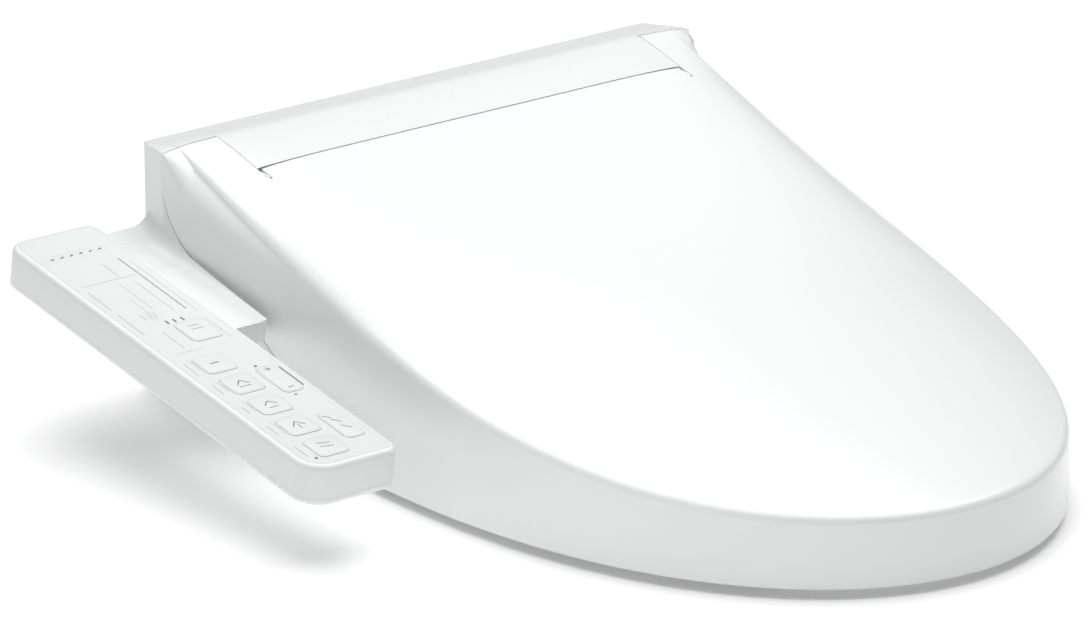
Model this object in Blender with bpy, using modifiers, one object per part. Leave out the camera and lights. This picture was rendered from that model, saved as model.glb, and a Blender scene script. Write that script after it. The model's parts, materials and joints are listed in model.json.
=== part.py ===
"""Electric bidet seat with a side control arm, in metres.

+Z up, front towards -Y, control arm on -X. Z = 0 is the rim of the toilet bowl. The origin is on
the rim, midway between the two bolt slots of the mounting plate, on the plate's underside.
"""
import math

import bmesh
import bpy
from mathutils import Matrix, Vector

# ---------------------------------------------------------------- driving dimensions
GAP = 0.0004                # clearance between pieces that sit on each other
WALL = 0.003                # wall of every large moulding
REAR_Y = 0.066              # rear face of the housing
NOSE_Y = -0.465             # front of the lid
SKIRT_Z = 0.006             # lower edge of the lid and of the rear cover
REAR_HALF = 0.185           # half-width of the housing at its rear face
REAR_CORNER = 0.008         # rounding of its rear corners
EAR_HALF = 0.193            # half-width where the lid's ears meet the housing
LID_HALF = 0.184            # half-width of the lid's upper edge
STRIP_Y = 0.0337            # rear edge of the lid's ears
STRIP_Z = 0.157             # height of the housing at the strip
REAR_Z = 0.152              # height of the housing at its rear face
TONGUE_Y = -0.0072          # front edge of the rear cover's tongue
TONGUE_Z = 0.149            # height at that edge
TONGUE_HALF = 0.1549        # half-width of the tongue
FRONT_WALL_Y = -0.050       # front wall of the housing below the tongue
LID_REAR_Y = -0.008         # rear edge of the lid between its ears
FULL_WIDTH_Y = -0.150       # where the lid is widest
NOSE_Z = 0.0463             # height of the lid's upper edge at the nose
FLARE_DROP = 0.014          # the flank reaches its full width this far below the upper edge
CHEEK_Y = -0.110            # front tip of the housing's cheeks under the lid

HINGE_Y = -0.014            # common axis of seat and lid
HINGE_Z = 0.1415
HINGE = (0.0, HINGE_Y, HINGE_Z)
EAR_RADIUS = 0.0495         # the ears' rounded rear about the hinge axis
LUG_RADIUS = 0.0042
PIN_RADIUS = 0.0018
PIN_START = 0.1505          # the hinge pins' inner ends
PIN_END = 0.1607
PIN_HOLE_END = 0.1611
ARM_PLATE = 0.003           # thickness of the seat's steel hinge arms
LUG_IN = 0.1499             # inner face of the housing's hinge lugs
EAR_IN = TONGUE_HALF + ARM_PLATE + 2 * GAP      # inner face of the lid's ears

SEAT_HALF = 0.170
SEAT_NOSE_Y = -0.4565
SEAT_REAR_Y = -0.058
SEAT_UNDER_Z = 0.008
SEAT_FRONT_Z = 0.037
SEAT_REAR_Z = 0.047
OPENING_HALF = 0.104        # the seat's opening
OPENING_FRONT_Y = -0.392
OPENING_REAR_Y = -0.128

PLATE_HALF = 0.118          # mounting plate
PLATE_DEPTH = 0.070
PLATE_FLANGE = 0.010
PLATE_PAD_Z = 0.0044
PLATE_Z = 0.008
BOLT_SPACING = 0.140
SLOT_LENGTH = 0.034
SLOT_WIDTH = 0.009
TRAY_Z = 0.002              # underside of the base tray
TRAY_TOP_Z = 0.0106

ARM_OUTER_X = -0.287        # control arm
ARM_WIDTH = 0.062
ARM_LENGTH = 0.3006
ARM_REAR_Y = 0.0585
ARM_REAR_Z = 0.11295
ARM_THICK = 0.025
ARM_SLOPE = math.radians(9.75)
ARM_OUTER_ROUND = 0.017
ARM_INNER_ROUND = 0.009
ARM_REAR_ROUND = 0.013      # outer corner at the rear
ARM_SPLIT = ARM_THICK - 0.0045       # depth of the upper case
ARM_FLOOR = 0.0018          # floor of the lower case
ARM_WALL = 0.0025
BRIDGE_LENGTH = 0.130
BRIDGE_DROP = 0.010         # the shelf's top below the arm's top
BRIDGE_ROUND = 0.012
KEY_SIZE = 0.021
KEY_TRAVEL = 0.0005
KEY_PROUD = 0.0005
OVERLAY = 0.0005
BOARD_DEPTH = 0.0054        # the panel board's top below the arm's top
BOARD = 0.0016
WINDOW_LOW = (0.008, -0.0331)        # indicator window, from the outer edge and the rear
WINDOW_HIGH = (0.050, -0.0271)

WAND_SLOPE = math.radians(38)
WAND_RADIUS = 0.007
WAND_LENGTH = 0.100
CRADLE_LENGTH = WAND_LENGTH + 0.006
WAND_TIP_Y = -0.0430
WAND_TIP_Z = 0.029
TIP_LENGTH = 0.014
GEAR_RADIUS = 0.008
GEAR_PLACE = 0.050          # the gear's place along the wand, from its tip

INLET_X = 0.160             # water inlet
INLET_Y = 0.042
FAN_X0 = 0.088              # fan, duct and the outlet behind the dryer flap
FAN_X1 = 0.126
FAN_Y = 0.026
FAN_Z = 0.046
FAN_RADIUS = 0.027
OUTLET_X0 = 0.030
OUTLET_X1 = 0.058
OUTLET_Z0 = 0.0136
OUTLET_Z1 = 0.0270
FLAP_HINGE = (0.044, -0.0512, 0.0260)
GLAND_X = -0.140            # cord gland
GLAND_Z = 0.030
BUTTON_LOW = (0.178, 0.010, 0.014)
BUTTON_HIGH = (0.1915, 0.024, 0.026)
CARTRIDGE_LOW = (0.142, -0.0395, 0.0145)
CARTRIDGE_HIGH = (0.1885, -0.0005, 0.0495)
BUMPER_ROUND = 0.009        # rubber feet under the seat
LID_BUMPER_X = 0.085
LID_BUMPER_Y = -0.400
LID_BUMPER_ROUND = 0.006
PIN_PLAY = 0.0002

# keys: name, distance from the arm's outer edge, distance from its rear, width, length
KEYS = [
    ("key_stop", 0.025, ARM_LENGTH - 0.127, KEY_SIZE, KEY_SIZE),
    ("key_rear_wash", 0.025, ARM_LENGTH - 0.1005, KEY_SIZE, KEY_SIZE),
    ("key_soft_wash", 0.025, ARM_LENGTH - 0.074, KEY_SIZE, KEY_SIZE),
    ("key_front_wash", 0.025, ARM_LENGTH - 0.0475, KEY_SIZE, KEY_SIZE),
    ("key_dryer", 0.025, ARM_LENGTH - 0.021, KEY_SIZE, KEY_SIZE),
    ("key_energy", 0.040, ARM_LENGTH - 0.164, KEY_SIZE, 0.024),
    ("key_pressure", 0.0475, ARM_LENGTH - 0.096, 0.014, 0.032),
    ("key_position", 0.0475, ARM_LENGTH - 0.038, 0.014, 0.032),
]


# ---------------------------------------------------------------- scene and materials
for old in list(bpy.data.objects):
    bpy.data.objects.remove(old, do_unlink=True)
PARTS = bpy.data.collections.new("electric_bidet_seat")
CUTTERS = bpy.data.collections.new("cutters")
bpy.context.scene.collection.children.link(PARTS)
bpy.context.scene.collection.children.link(CUTTERS)


def material(name, colour, roughness, metallic=0.0):
    made = bpy.data.materials.new(name)
    made.use_nodes = True
    shader = made.node_tree.nodes["Principled BSDF"]
    shader.inputs["Base Color"].default_value = (*colour, 1)
    shader.inputs["Roughness"].default_value = roughness
    shader.inputs["Metallic"].default_value = metallic
    return made


WHITE = material("white_moulding", (0.87, 0.88, 0.88), 0.22)
PANEL = material("panel_film", (0.84, 0.85, 0.85), 0.4)
GREY = material("grey_moulding", (0.45, 0.46, 0.47), 0.5)
DARK = material("dark_moulding", (0.05, 0.05, 0.055), 0.45)
RUBBER = material("soft_rubber", (0.7, 0.7, 0.69), 0.8)
STEEL = material("stainless_steel", (0.62, 0.62, 0.61), 0.3, 1.0)
BRASS = material("brass", (0.72, 0.55, 0.28), 0.3, 1.0)
CIRCUIT = material("circuit_board", (0.02, 0.17, 0.08), 0.5)
FOIL = material("heater_foil", (0.75, 0.74, 0.7), 0.35, 1.0)


# ---------------------------------------------------------------- modelling helpers
def add(name, mesh, finish, collection=PARTS):
    made = bpy.data.objects.new(name, mesh)
    collection.objects.link(made)
    if finish:
        mesh.materials.append(finish)
    if collection == CUTTERS:
        made.hide_render = True
        made.display_type = "WIRE"
    return made


def tidy(bm, name):
    """Close the seams, turn the faces outwards and hand back a mesh."""
    bmesh.ops.remove_doubles(bm, verts=bm.verts, dist=0.000001)
    bmesh.ops.recalc_face_normals(bm, faces=bm.faces)
    mesh = bpy.data.meshes.new(name)
    bm.to_mesh(mesh)
    bm.free()
    return mesh


def outline_mesh(points, low, high, axis="Z"):
    """A flat outline as a filled curve, as thick as low..high along the axis."""
    curve = bpy.data.curves.new("outline", "CURVE")
    curve.dimensions = "2D"
    curve.fill_mode = "BOTH"
    curve.extrude = (high - low) / 2
    spline = curve.splines.new("POLY")
    spline.points.add(len(points) - 1)
    for point, (u, v) in zip(spline.points, points):
        point.co = (u, v, 0, 1)
    spline.use_cyclic_u = True
    sketch = bpy.data.objects.new("outline", curve)
    bm = bmesh.new()
    bm.from_mesh(bpy.data.meshes.new_from_object(sketch))
    bpy.data.objects.remove(sketch)
    middle = (high + low) / 2
    for vert in bm.verts:
        u, v, w = vert.co
        if axis == "X":
            vert.co = (w + middle, u, v)
        elif axis == "Y":
            vert.co = (u, w + middle, v)
        else:
            vert.co = (u, v, w + middle)
    return tidy(bm, "outline")


def prism(name, points, low, high, axis, finish=None, collection=PARTS):
    return add(name, outline_mesh(points, low, high, axis), finish, collection)


def box(name, low, high, finish=None, collection=PARTS, bevel=0.0):
    bm = bmesh.new()
    size = Vector(high) - Vector(low)
    centre = (Vector(high) + Vector(low)) / 2
    bmesh.ops.create_cube(bm, size=1.0, matrix=Matrix.Translation(centre) @ Matrix.Diagonal((*size, 1)))
    made = add(name, tidy(bm, name), finish, collection)
    if bevel:
        rounded = made.modifiers.new("rounded", "BEVEL")
        rounded.width = bevel
        rounded.segments = 2
        rounded.limit_method = "ANGLE"
    return made


def rod(name, start, end, radius, finish=None, collection=PARTS, segments=24, end_radius=None):
    """A cylinder or cone from start to end."""
    bm = bmesh.new()
    start = Vector(start)
    span = Vector(end) - start
    turn = span.to_track_quat("Z", "Y").to_matrix().to_4x4()
    place = Matrix.Translation(start + span / 2) @ turn
    bmesh.ops.create_cone(bm, cap_ends=True, segments=segments, radius1=radius,
                          radius2=radius if end_radius is None else end_radius,
                          depth=span.length, matrix=place)
    made = add(name, tidy(bm, name), finish, collection)
    made.data.shade_smooth()
    made.data.set_sharp_from_angle(angle=math.radians(35))
    return made


def turned(name, profile, finish, segments=32):
    """A profile of (radius, height) pairs, top to bottom on its outer side, turned about Z."""
    bm = bmesh.new()
    verts = [bm.verts.new((radius, 0, height)) for radius, height in profile]
    for first, second in zip(verts, verts[1:]):
        bm.edges.new((first, second))
    mesh = bpy.data.meshes.new(name)
    bm.to_mesh(mesh)
    bm.free()
    made = add(name, mesh, finish)
    screw = made.modifiers.new("turned", "SCREW")
    screw.steps = segments
    screw.render_steps = segments
    screw.use_merge_vertices = True
    screw.merge_threshold = 0.00001
    return made


def combine(target, other, operation="DIFFERENCE"):
    """Cut, join or intersect the target with a cutter."""
    boolean = target.modifiers.new(operation.lower(), "BOOLEAN")
    boolean.operation = operation
    boolean.object = other
    boolean.solver = "EXACT"
    return target


def cut_box(target, low, high):
    return combine(target, box("cut", low, high, collection=CUTTERS))


def cut_rod(target, start, end, radius, segments=24):
    return combine(target, rod("cut", start, end, radius, collection=CUTTERS, segments=segments))


def join_box(target, low, high):
    return combine(target, box("join", low, high, collection=CUTTERS), "UNION")


def join_rod(target, start, end, radius, segments=24):
    return combine(target, rod("join", start, end, radius, collection=CUTTERS, segments=segments), "UNION")


def tube(name, points, radius, finish):
    """A round bar or hose along points, with filled caps."""
    curve = bpy.data.curves.new(name, "CURVE")
    curve.dimensions = "3D"
    curve.bevel_depth = radius
    curve.bevel_resolution = 2
    curve.use_fill_caps = True
    spline = curve.splines.new("POLY")
    spline.points.add(len(points) - 1)
    for point, place in zip(spline.points, points):
        point.co = (*place, 1)
    made = bpy.data.objects.new(name, curve)
    PARTS.objects.link(made)
    curve.materials.append(finish)
    return made


def set_pivot(names, place):
    """Put the origin of moving pieces on their joint's axis."""
    for name in names:
        piece = bpy.data.objects[name]
        piece.data.transform(Matrix.Translation(-Vector(place)))
        piece.location = place


def middle_of(low, high):
    return (Vector(low) + Vector(high)) / 2


def smooth_route(points, steps=6):
    """A smooth curve through the points, as a list."""
    route = []
    ends = [points[0] * 2 - points[1]] + points + [points[-1] * 2 - points[-2]]
    for index in range(len(points) - 1):
        a, b, c, d = ends[index:index + 4]
        for step in range(steps):
            t = step / steps
            route.append(((b * 2) + (c - a) * t + (a * 2 - b * 5 + c * 4 - d) * t * t
                          + (b * 3 - a - c * 3 + d) * t * t * t) / 2)
    route.append(points[-1])
    return route


def arc(centre, radius, start, end, steps):
    """Points on a circle from one angle to another, in degrees."""
    angles = [math.radians(start + (end - start) * step / steps) for step in range(steps + 1)]
    return [(centre[0] + radius * math.cos(a), centre[1] + radius * math.sin(a)) for a in angles]


def rounded_rectangle(low, high, rounds, steps=4):
    """Corners in the order low-low, high-low, high-high, low-high, each with its own radius."""
    (x0, y0), (x1, y1) = low, high
    corners = [((x0, y0), (1, 1), 180), ((x1, y0), (-1, 1), 270),
               ((x1, y1), (-1, -1), 0), ((x0, y1), (1, -1), 90)]
    points = []
    for ((x, y), (sx, sy), start), radius in zip(corners, rounds):
        points += arc((x + sx * radius, y + sy * radius), radius, start, start + 90, steps)
    return points


def loft(sections, closed=False):
    """Skin between sections with equal point counts; open ends get a cap."""
    bm = bmesh.new()
    rings = [[bm.verts.new(point) for point in section] for section in sections]
    pairs = list(zip(rings, rings[1:]))
    if closed:
        pairs.append((rings[-1], rings[0]))
    count = len(rings[0])
    for near, far in pairs:
        for index in range(count):
            after = (index + 1) % count
            bm.faces.new((near[index], near[after], far[after], far[index]))
    if not closed:
        bm.faces.new(rings[0])
        bm.faces.new(rings[-1])
    return tidy(bm, "loft")


# ---------------------------------------------------------------- the common outer form
def blend(value, low, high):
    t = min(max((value - low) / (high - low), 0), 1)
    return t * t * (3 - 2 * t)


def upper_half_width(y):
    """Half-width of the lid's upper edge at y."""
    if y > FULL_WIDTH_Y:
        return LID_HALF - 0.002 * ((y - FULL_WIDTH_Y) / (STRIP_Y - FULL_WIDTH_Y)) ** 2
    reach = min((FULL_WIDTH_Y - y) / (FULL_WIDTH_Y - NOSE_Y), 1)
    return LID_HALF * math.sqrt(1 - reach ** 2.4)


def lower_half_width(y):
    """Half-width at the lid's lower edge: it stands out further at the ears."""
    if y > FULL_WIDTH_Y:
        share = (y - FULL_WIDTH_Y) / (STRIP_Y - FULL_WIDTH_Y)
        return upper_half_width(y) + (EAR_HALF - upper_half_width(STRIP_Y)) * share ** 1.5
    return max(upper_half_width(y) - 0.001, 0.004)


def edge_height(y):
    """Height of the lid's upper edge: a straight fall from the ears that levels out to the nose."""
    reach = (STRIP_Y - y) / (STRIP_Y - NOSE_Y)
    return NOSE_Z + (0.156 - NOSE_Z) * (1 - reach) ** 1.85


def middle_height(y):
    """Height along the lid's centre line."""
    if y > LID_REAR_Y:
        return TONGUE_Z + (STRIP_Z - TONGUE_Z) * (y - LID_REAR_Y) / (STRIP_Y - LID_REAR_Y)
    reach = (LID_REAR_Y - y) / (LID_REAR_Y - NOSE_Y)
    return TONGUE_Z + (NOSE_Z - TONGUE_Z) * reach + 0.012 * reach * (1 - reach)


def top_height(x, y, half):
    """Height of the top surface, flat across at the rear and crowned towards the front."""
    power = 10 - 7.4 * blend(-y, 0.0, 0.25)
    rise = middle_height(y) - edge_height(y)
    return edge_height(y) + rise * (1 - min(abs(x) / half, 1) ** power)


def ear_curve(clearance, steps=8):
    """Side view (y, z) of the lid's lower rear edge: round about the hinge, then down to the skirt."""
    radius = EAR_RADIUS + clearance
    top = math.degrees(math.asin((0.158 - HINGE_Z) / radius))
    points = arc((HINGE_Y, HINGE_Z), radius, top, -68, steps)
    start = Vector(points[-1])
    end = Vector((CHEEK_Y + clearance * 1.4, SKIRT_Z - 0.001))
    bend_a = start + Vector((-0.034, -0.014))
    bend_b = end + Vector((0.016, 0.045))
    for step in range(1, steps + 1):
        t = step / steps
        place = (start * (1 - t) ** 3 + bend_a * 3 * t * (1 - t) ** 2
                 + bend_b * 3 * t * t * (1 - t) + end * t ** 3)
        points.append((place.x, place.y))
    return points


def lid_section(y, inset, half_limit, bottom):
    """Closed section of the lid's volume at y, inset from the outer surface."""
    half = min(upper_half_width(y) - inset, half_limit)
    low_half = min(lower_half_width(y) - inset, half_limit)
    shares = [-1, -0.93, -0.82, -0.62, -0.32, 0, 0.32, 0.62, 0.82, 0.93, 1]
    flare = top_height(half, y, upper_half_width(y)) - FLARE_DROP
    points = [(-low_half, y, bottom), (-low_half, y, flare)]
    for share in shares:
        x = share * half
        points.append((x, y, top_height(x, y, upper_half_width(y)) - inset))
    points += [(low_half, y, flare), (low_half, y, bottom)]
    return points


def lid_stations(inset, rear):
    """Stations along y: even along the straight sides, closer round the nose."""
    nose = NOSE_Y + inset
    straight = [rear + (FULL_WIDTH_Y - rear) * step / 7 for step in range(7)]
    round_part = []
    for step in range(13):
        angle = math.radians(88) * step / 12
        round_part.append(FULL_WIDTH_Y + (nose - FULL_WIDTH_Y) * math.sin(angle) ** (2 / 2.4))
    return straight + round_part


# ---------------------------------------------------------------- the lid
def make_lid():
    lid = add("lid_shell", loft([lid_section(y, 0, 1, SKIRT_Z) for y in lid_stations(0, 0.060)]), WHITE)
    hollow = [lid_section(y, WALL, EAR_IN + 0.0005, -0.021) for y in (LID_REAR_Y + 0.004, -0.027)]
    hollow += [lid_section(y, WALL, 1, -0.021) for y in lid_stations(WALL, -0.030)]
    slot_y = HINGE_Y - LUG_RADIUS - 0.0008
    right = [(LUG_IN - GAP, LID_REAR_Y), (LUG_IN - GAP, slot_y), (EAR_IN, slot_y), (EAR_IN, 0.09)]
    notch = right + [(-x, y) for x, y in reversed(right)]
    for side in (-1, 1):
        cut_rod(lid, (side * 0.150, HINGE_Y, HINGE_Z), (side * PIN_HOLE_END, HINGE_Y, HINGE_Z),
                PIN_RADIUS + PIN_PLAY, 16)
    combine(lid, prism("lid_notch", notch, -0.02, 0.2, "Z", None, CUTTERS))
    behind = ear_curve(0) + [(CHEEK_Y, -0.02), (0.09, -0.02), (0.09, 0.2), (STRIP_Y + 0.0002, 0.2)]
    combine(lid, prism("behind_ears", behind, -0.22, 0.22, "X", None, CUTTERS))
    combine(lid, add("lid_hollow", loft(hollow), None, CUTTERS))
    for side, label in ((-1, "left"), (1, "right")):
        x = side * LID_BUMPER_X
        foot = (x, LID_BUMPER_Y, seat_top(LID_BUMPER_Y) + GAP)
        head = (x, LID_BUMPER_Y, lid_ceiling(x, LID_BUMPER_Y) - GAP)
        rod(f"lid_bumper_{label}", foot, head, LID_BUMPER_ROUND, RUBBER, segments=16)
    set_pivot(("lid_shell", "lid_bumper_left", "lid_bumper_right"), HINGE)


def lid_ceiling(x, y):
    """Lowest point of the lid's inside over a bumper at (x, y)."""
    half = upper_half_width(y)
    reach = LID_BUMPER_ROUND
    return min(top_height(x + dx, y - reach, half) for dx in (-reach, reach)) - WALL


# ---------------------------------------------------------------- the seat
def seat_top(y):
    reach = (SEAT_REAR_Y - y) / (SEAT_REAR_Y - SEAT_NOSE_Y)
    return SEAT_REAR_Z + (SEAT_FRONT_Z - SEAT_REAR_Z) * reach


def ring_point(angle, half, front, rear, centre, front_power, rear_power, inset=0.0):
    """Plan outline of the seat or its opening; a positive inset shrinks it."""
    c, s = math.cos(angle), math.sin(angle)
    power = front_power if s < 0 else rear_power
    reach = (centre - front if s < 0 else rear - centre) - inset
    x = (half - inset) * math.copysign(abs(c) ** (2 / power), c)
    y = centre + reach * math.copysign(abs(s) ** (2 / power), s)
    return x, y


def seat_ring(outer_inset, inner_inset, heights, segments=56):
    """Ring between the seat's outline and its opening; heights(y) gives the section's profile."""
    sections = []
    for step in range(segments):
        angle = 2 * math.pi * (step + 0.5) / segments
        outer = ring_point(angle, SEAT_HALF, SEAT_NOSE_Y, SEAT_REAR_Y, -0.175, 2.1, 5.0, outer_inset)
        inner = ring_point(angle, OPENING_HALF, OPENING_FRONT_Y, OPENING_REAR_Y, -0.245, 2.2, 2.6,
                           -inner_inset)
        section = []
        for share, height in heights:
            x = outer[0] + (inner[0] - outer[0]) * share
            y = outer[1] + (inner[1] - outer[1]) * share
            section.append((x, y, seat_top(y) - height if height >= 0 else SEAT_UNDER_Z - height - 1))
        sections.append(section)
    return loft(sections, closed=True)


def make_seat():
    under = -1.0            # marks a point on the seat's underside; more negative is higher
    outside = [(0, under), (0, 0.010), (0.05, 0.0035), (0.16, 0.0008), (0.5, 0.002), (0.84, 0.0025),
               (0.96, 0.007), (1, 0.012), (1, under)]
    side = 0.048            # share of the ring's width that its side walls take
    inside = [(1 - side, under), (1 - side, 0.0130), (0.84, 0.0055), (0.5, 0.0050), (0.16, 0.0038),
              (side, 0.0090), (side, under)]
    shell = add("seat_upper_shell", seat_ring(0, 0, outside + inside), WHITE)
    plate = [(0, under - 0.0002), (0, under - 0.0032), (1, under - 0.0032), (1, under - 0.0002)]
    lower = add("seat_lower_shell", seat_ring(0.0052, 0.0052, plate), WHITE)
    foil = [(0, 0.0074), (0, 0.0069), (1, 0.0069), (1, 0.0074)]
    film = add("seat_heater_foil", seat_ring(0.015, 0.015, foil), FOIL)
    for piece in (shell, lower, film):
        cut_box(piece, (-0.026, SEAT_REAR_Y - 0.045, -0.01), (OUTLET_X1 + 0.004, 0.0, 0.029))
    for side, label in ((-1, "left"), (1, "right")):
        for y, place in ((-0.380, "front"), (-0.170, "rear")):
            x = side * (0.106 if place == "front" else 0.142)
            foot = rod(f"seat_bumper_{label}_{place}", (x, y, 0.0), (x, y, SEAT_UNDER_Z - GAP), BUMPER_ROUND,
                       RUBBER, segments=20)
            set_pivot((foot.name,), HINGE)
        make_hinge_arm(side, label, shell)
    set_pivot(("seat_upper_shell", "seat_lower_shell", "seat_heater_foil"), HINGE)


def make_hinge_arm(side, label, shell):
    """Steel arm from the hinge axis down into the seat."""
    low, high = sorted((side * (TONGUE_HALF + GAP), side * (TONGUE_HALF + GAP + ARM_PLATE)))
    nose = arc((HINGE_Y, HINGE_Z), LUG_RADIUS, -20, 200, 8)
    knee = FRONT_WALL_Y - 0.0035
    profile = nose + [(-0.031, 0.1255), (knee - 0.018, 0.096), (knee - 0.018, 0.045), (-0.092, 0.033)]
    profile += [(-0.092, 0.018), (-0.070, 0.018), (knee, 0.040), (knee, 0.088), (-0.026, 0.112)]
    plate = prism(f"seat_hinge_arm_{label}", profile, low, high, "X", STEEL)
    cut_rod(plate, (low - 0.01, HINGE_Y, HINGE_Z), (high + 0.01, HINGE_Y, HINGE_Z),
            PIN_RADIUS + PIN_PLAY, 16)
    set_pivot((plate.name,), HINGE)
    cut_box(shell, (low - GAP, -0.0925, 0.0176), (high + GAP, -0.040, 0.10))
    rod(f"hinge_pin_{label}", (side * PIN_START, HINGE_Y, HINGE_Z), (side * PIN_END, HINGE_Y, HINGE_Z),
        PIN_RADIUS, STEEL, segments=16)


# ---------------------------------------------------------------- rear cover and base
def housing_plan(inset):
    """Plan outline of the housing, with a cheek each side that reaches forward under the lid."""
    stations = (CHEEK_Y, -0.085, -0.060, -0.036, -0.012, 0.010, STRIP_Y)
    right = [(lower_half_width(y) - inset, y) for y in stations]
    corner = arc((REAR_HALF - REAR_CORNER, REAR_Y - REAR_CORNER), REAR_CORNER - inset, 8, 90, 4)
    right += corner
    cheek = [(0.1805, FRONT_WALL_Y), (0.1805, CHEEK_Y)] if not inset else []
    front = [(lower_half_width(FRONT_WALL_Y) - inset, FRONT_WALL_Y + inset)]
    if inset:
        right = front + [point for point in right if point[1] > FRONT_WALL_Y + inset]
    left = [(-x, y) for x, y in reversed(right)]
    return right + left + [(-x, y) for x, y in reversed(cheek)] + cheek if not inset else right + left


def make_rear_cover():
    tongue = [(REAR_Y, SKIRT_Z), (REAR_Y, REAR_Z - 0.003), (REAR_Y - 0.003, REAR_Z), (STRIP_Y, STRIP_Z),
              (TONGUE_Y, TONGUE_Z)]
    tongue += arc((HINGE_Y, HINGE_Z), 0.0100, 45, -75, 5)
    tongue += [(-0.048, 0.112), (FRONT_WALL_Y, 0.106), (FRONT_WALL_Y, SKIRT_Z)]
    cover = prism("rear_cover", tongue, -TONGUE_HALF, TONGUE_HALF, "X", WHITE)
    shoulder = [(REAR_Y, SKIRT_Z), (REAR_Y, REAR_Z - 0.003), (REAR_Y - 0.003, REAR_Z),
                (STRIP_Y + 0.0009, STRIP_Z)] + ear_curve(0.0008)[1:-1] + [(CHEEK_Y + 0.0012, SKIRT_Z)]
    shoulders = prism("shoulders", shoulder, -0.21, 0.21, "X", None, CUTTERS)
    combine(shoulders, prism("plan", housing_plan(0), 0, 0.18, "Z", None, CUTTERS), "INTERSECT")
    combine(cover, shoulders, "UNION")
    combine(cover, make_bridge(), "UNION")

    room = [(REAR_Y - WALL, -0.02), (REAR_Y - WALL, REAR_Z - WALL), (STRIP_Y, STRIP_Z - WALL),
            (TONGUE_Y + 0.005, TONGUE_Z - WALL), (-0.0015, 0.132), (-0.046, 0.1085),
            (FRONT_WALL_Y + WALL, 0.104), (FRONT_WALL_Y + WALL, -0.02)]
    half = TONGUE_HALF - WALL - 0.002
    combine(cover, prism("tongue_room", room, -half, half, "X", None, CUTTERS))
    curve = [(y, z - 0.001) for y, z in ear_curve(WALL + 0.0008)[1:] if y > FRONT_WALL_Y + WALL]
    side_room = [(REAR_Y - WALL, -0.02), (REAR_Y - WALL, REAR_Z - WALL - 0.002),
                 (STRIP_Y + 0.007, STRIP_Z - WALL - 0.003)] + curve
    side_room += [(FRONT_WALL_Y + WALL, curve[-1][1] - 0.008), (FRONT_WALL_Y + WALL, -0.02)]
    sides = prism("side_room", side_room, -0.21, 0.21, "X", None, CUTTERS)
    combine(sides, prism("plan_room", housing_plan(WALL), -0.03, 0.18, "Z", None, CUTTERS), "INTERSECT")
    combine(cover, sides)

    for side in (-1, 1):
        low, high = sorted((side * LUG_IN, side * TONGUE_HALF))
        nose = arc((HINGE_Y, HINGE_Z), LUG_RADIUS, 90, 270, 8)
        lug = prism("lug", nose + [(0.004, HINGE_Z - LUG_RADIUS), (0.004, HINGE_Z + LUG_RADIUS)],
                    low, high, "X", None, CUTTERS)
        combine(cover, lug, "UNION")
        cut_rod(cover, (side * 0.1400, HINGE_Y, HINGE_Z), (side * 0.160, HINGE_Y, HINGE_Z),
                PIN_RADIUS + PIN_PLAY, 16)
    cut_box(cover, (-0.020, -0.06, -0.01), (0.020, -0.040, 0.040))
    cut_box(cover, (OUTLET_X0, -0.06, OUTLET_Z0), (OUTLET_X1, -0.040, OUTLET_Z1))
    wide = PLATE_HALF + PLATE_FLANGE + 0.001
    cut_box(cover, (-wide, 0.05, -0.01), (wide, 0.08, PLATE_Z + GAP))
    cut_box(cover, (0.17, -0.0404, 0.0136), (0.21, 0.0004, 0.0504))
    cut_box(cover, (0.17, 0.0096, 0.0136), (0.21, 0.0244, 0.0264))
    cut_rod(cover, (GLAND_X, 0.05, GLAND_Z), (GLAND_X, 0.08, GLAND_Z), 0.0084)
    cut_box(cover, (-0.215, -0.030, 0.070), (-0.180, 0.020, 0.082))
    return cover


ON_ARM = (Matrix.Translation((ARM_OUTER_X, ARM_REAR_Y, ARM_REAR_Z))
          @ Matrix.Rotation(ARM_SLOPE, 4, "X"))


def tilt(thing):
    """Put a piece made flat, with its rear top at the origin, onto the arm's slope."""
    thing.data.transform(ON_ARM)
    return thing


def flank_at(y):
    """Half-width of the housing's flank."""
    if y < STRIP_Y:
        return lower_half_width(y)
    corner_y = REAR_Y - REAR_CORNER
    return EAR_HALF - (EAR_HALF - REAR_HALF) * (y - STRIP_Y) / (corner_y - STRIP_Y)


def make_bridge():
    """Shelf between the housing and the arm, with a hollow fillet that follows the flank."""
    sections = []
    for step in range(5):
        back = -0.0005 - (BRIDGE_LENGTH - 0.0005) * step / 4
        wall = -flank_at(ARM_REAR_Y + back * math.cos(ARM_SLOPE)) - 0.0006 - ARM_OUTER_X
        fillet = arc((wall - BRIDGE_ROUND, BRIDGE_ROUND - BRIDGE_DROP), BRIDGE_ROUND, -90, -4, 5)
        section = [(ARM_WIDTH + GAP, 0.002 - ARM_THICK), (ARM_WIDTH + GAP, -BRIDGE_DROP)] + fillet
        section += [(wall + 0.0076, fillet[-1][1]), (wall + 0.0076, 0.002 - ARM_THICK)]
        sections.append([(x, back, z) for x, z in section])
    bridge = tilt(add("bridge", loft(sections), None, CUTTERS))
    ear = ear_curve(0.0008) + [(CHEEK_Y, 0.2), (STRIP_Y + 0.0009, 0.2)]
    return combine(bridge, prism("ear_sweep", ear, -EAR_HALF - 0.0008, -0.170, "X", None, CUTTERS))


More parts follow.
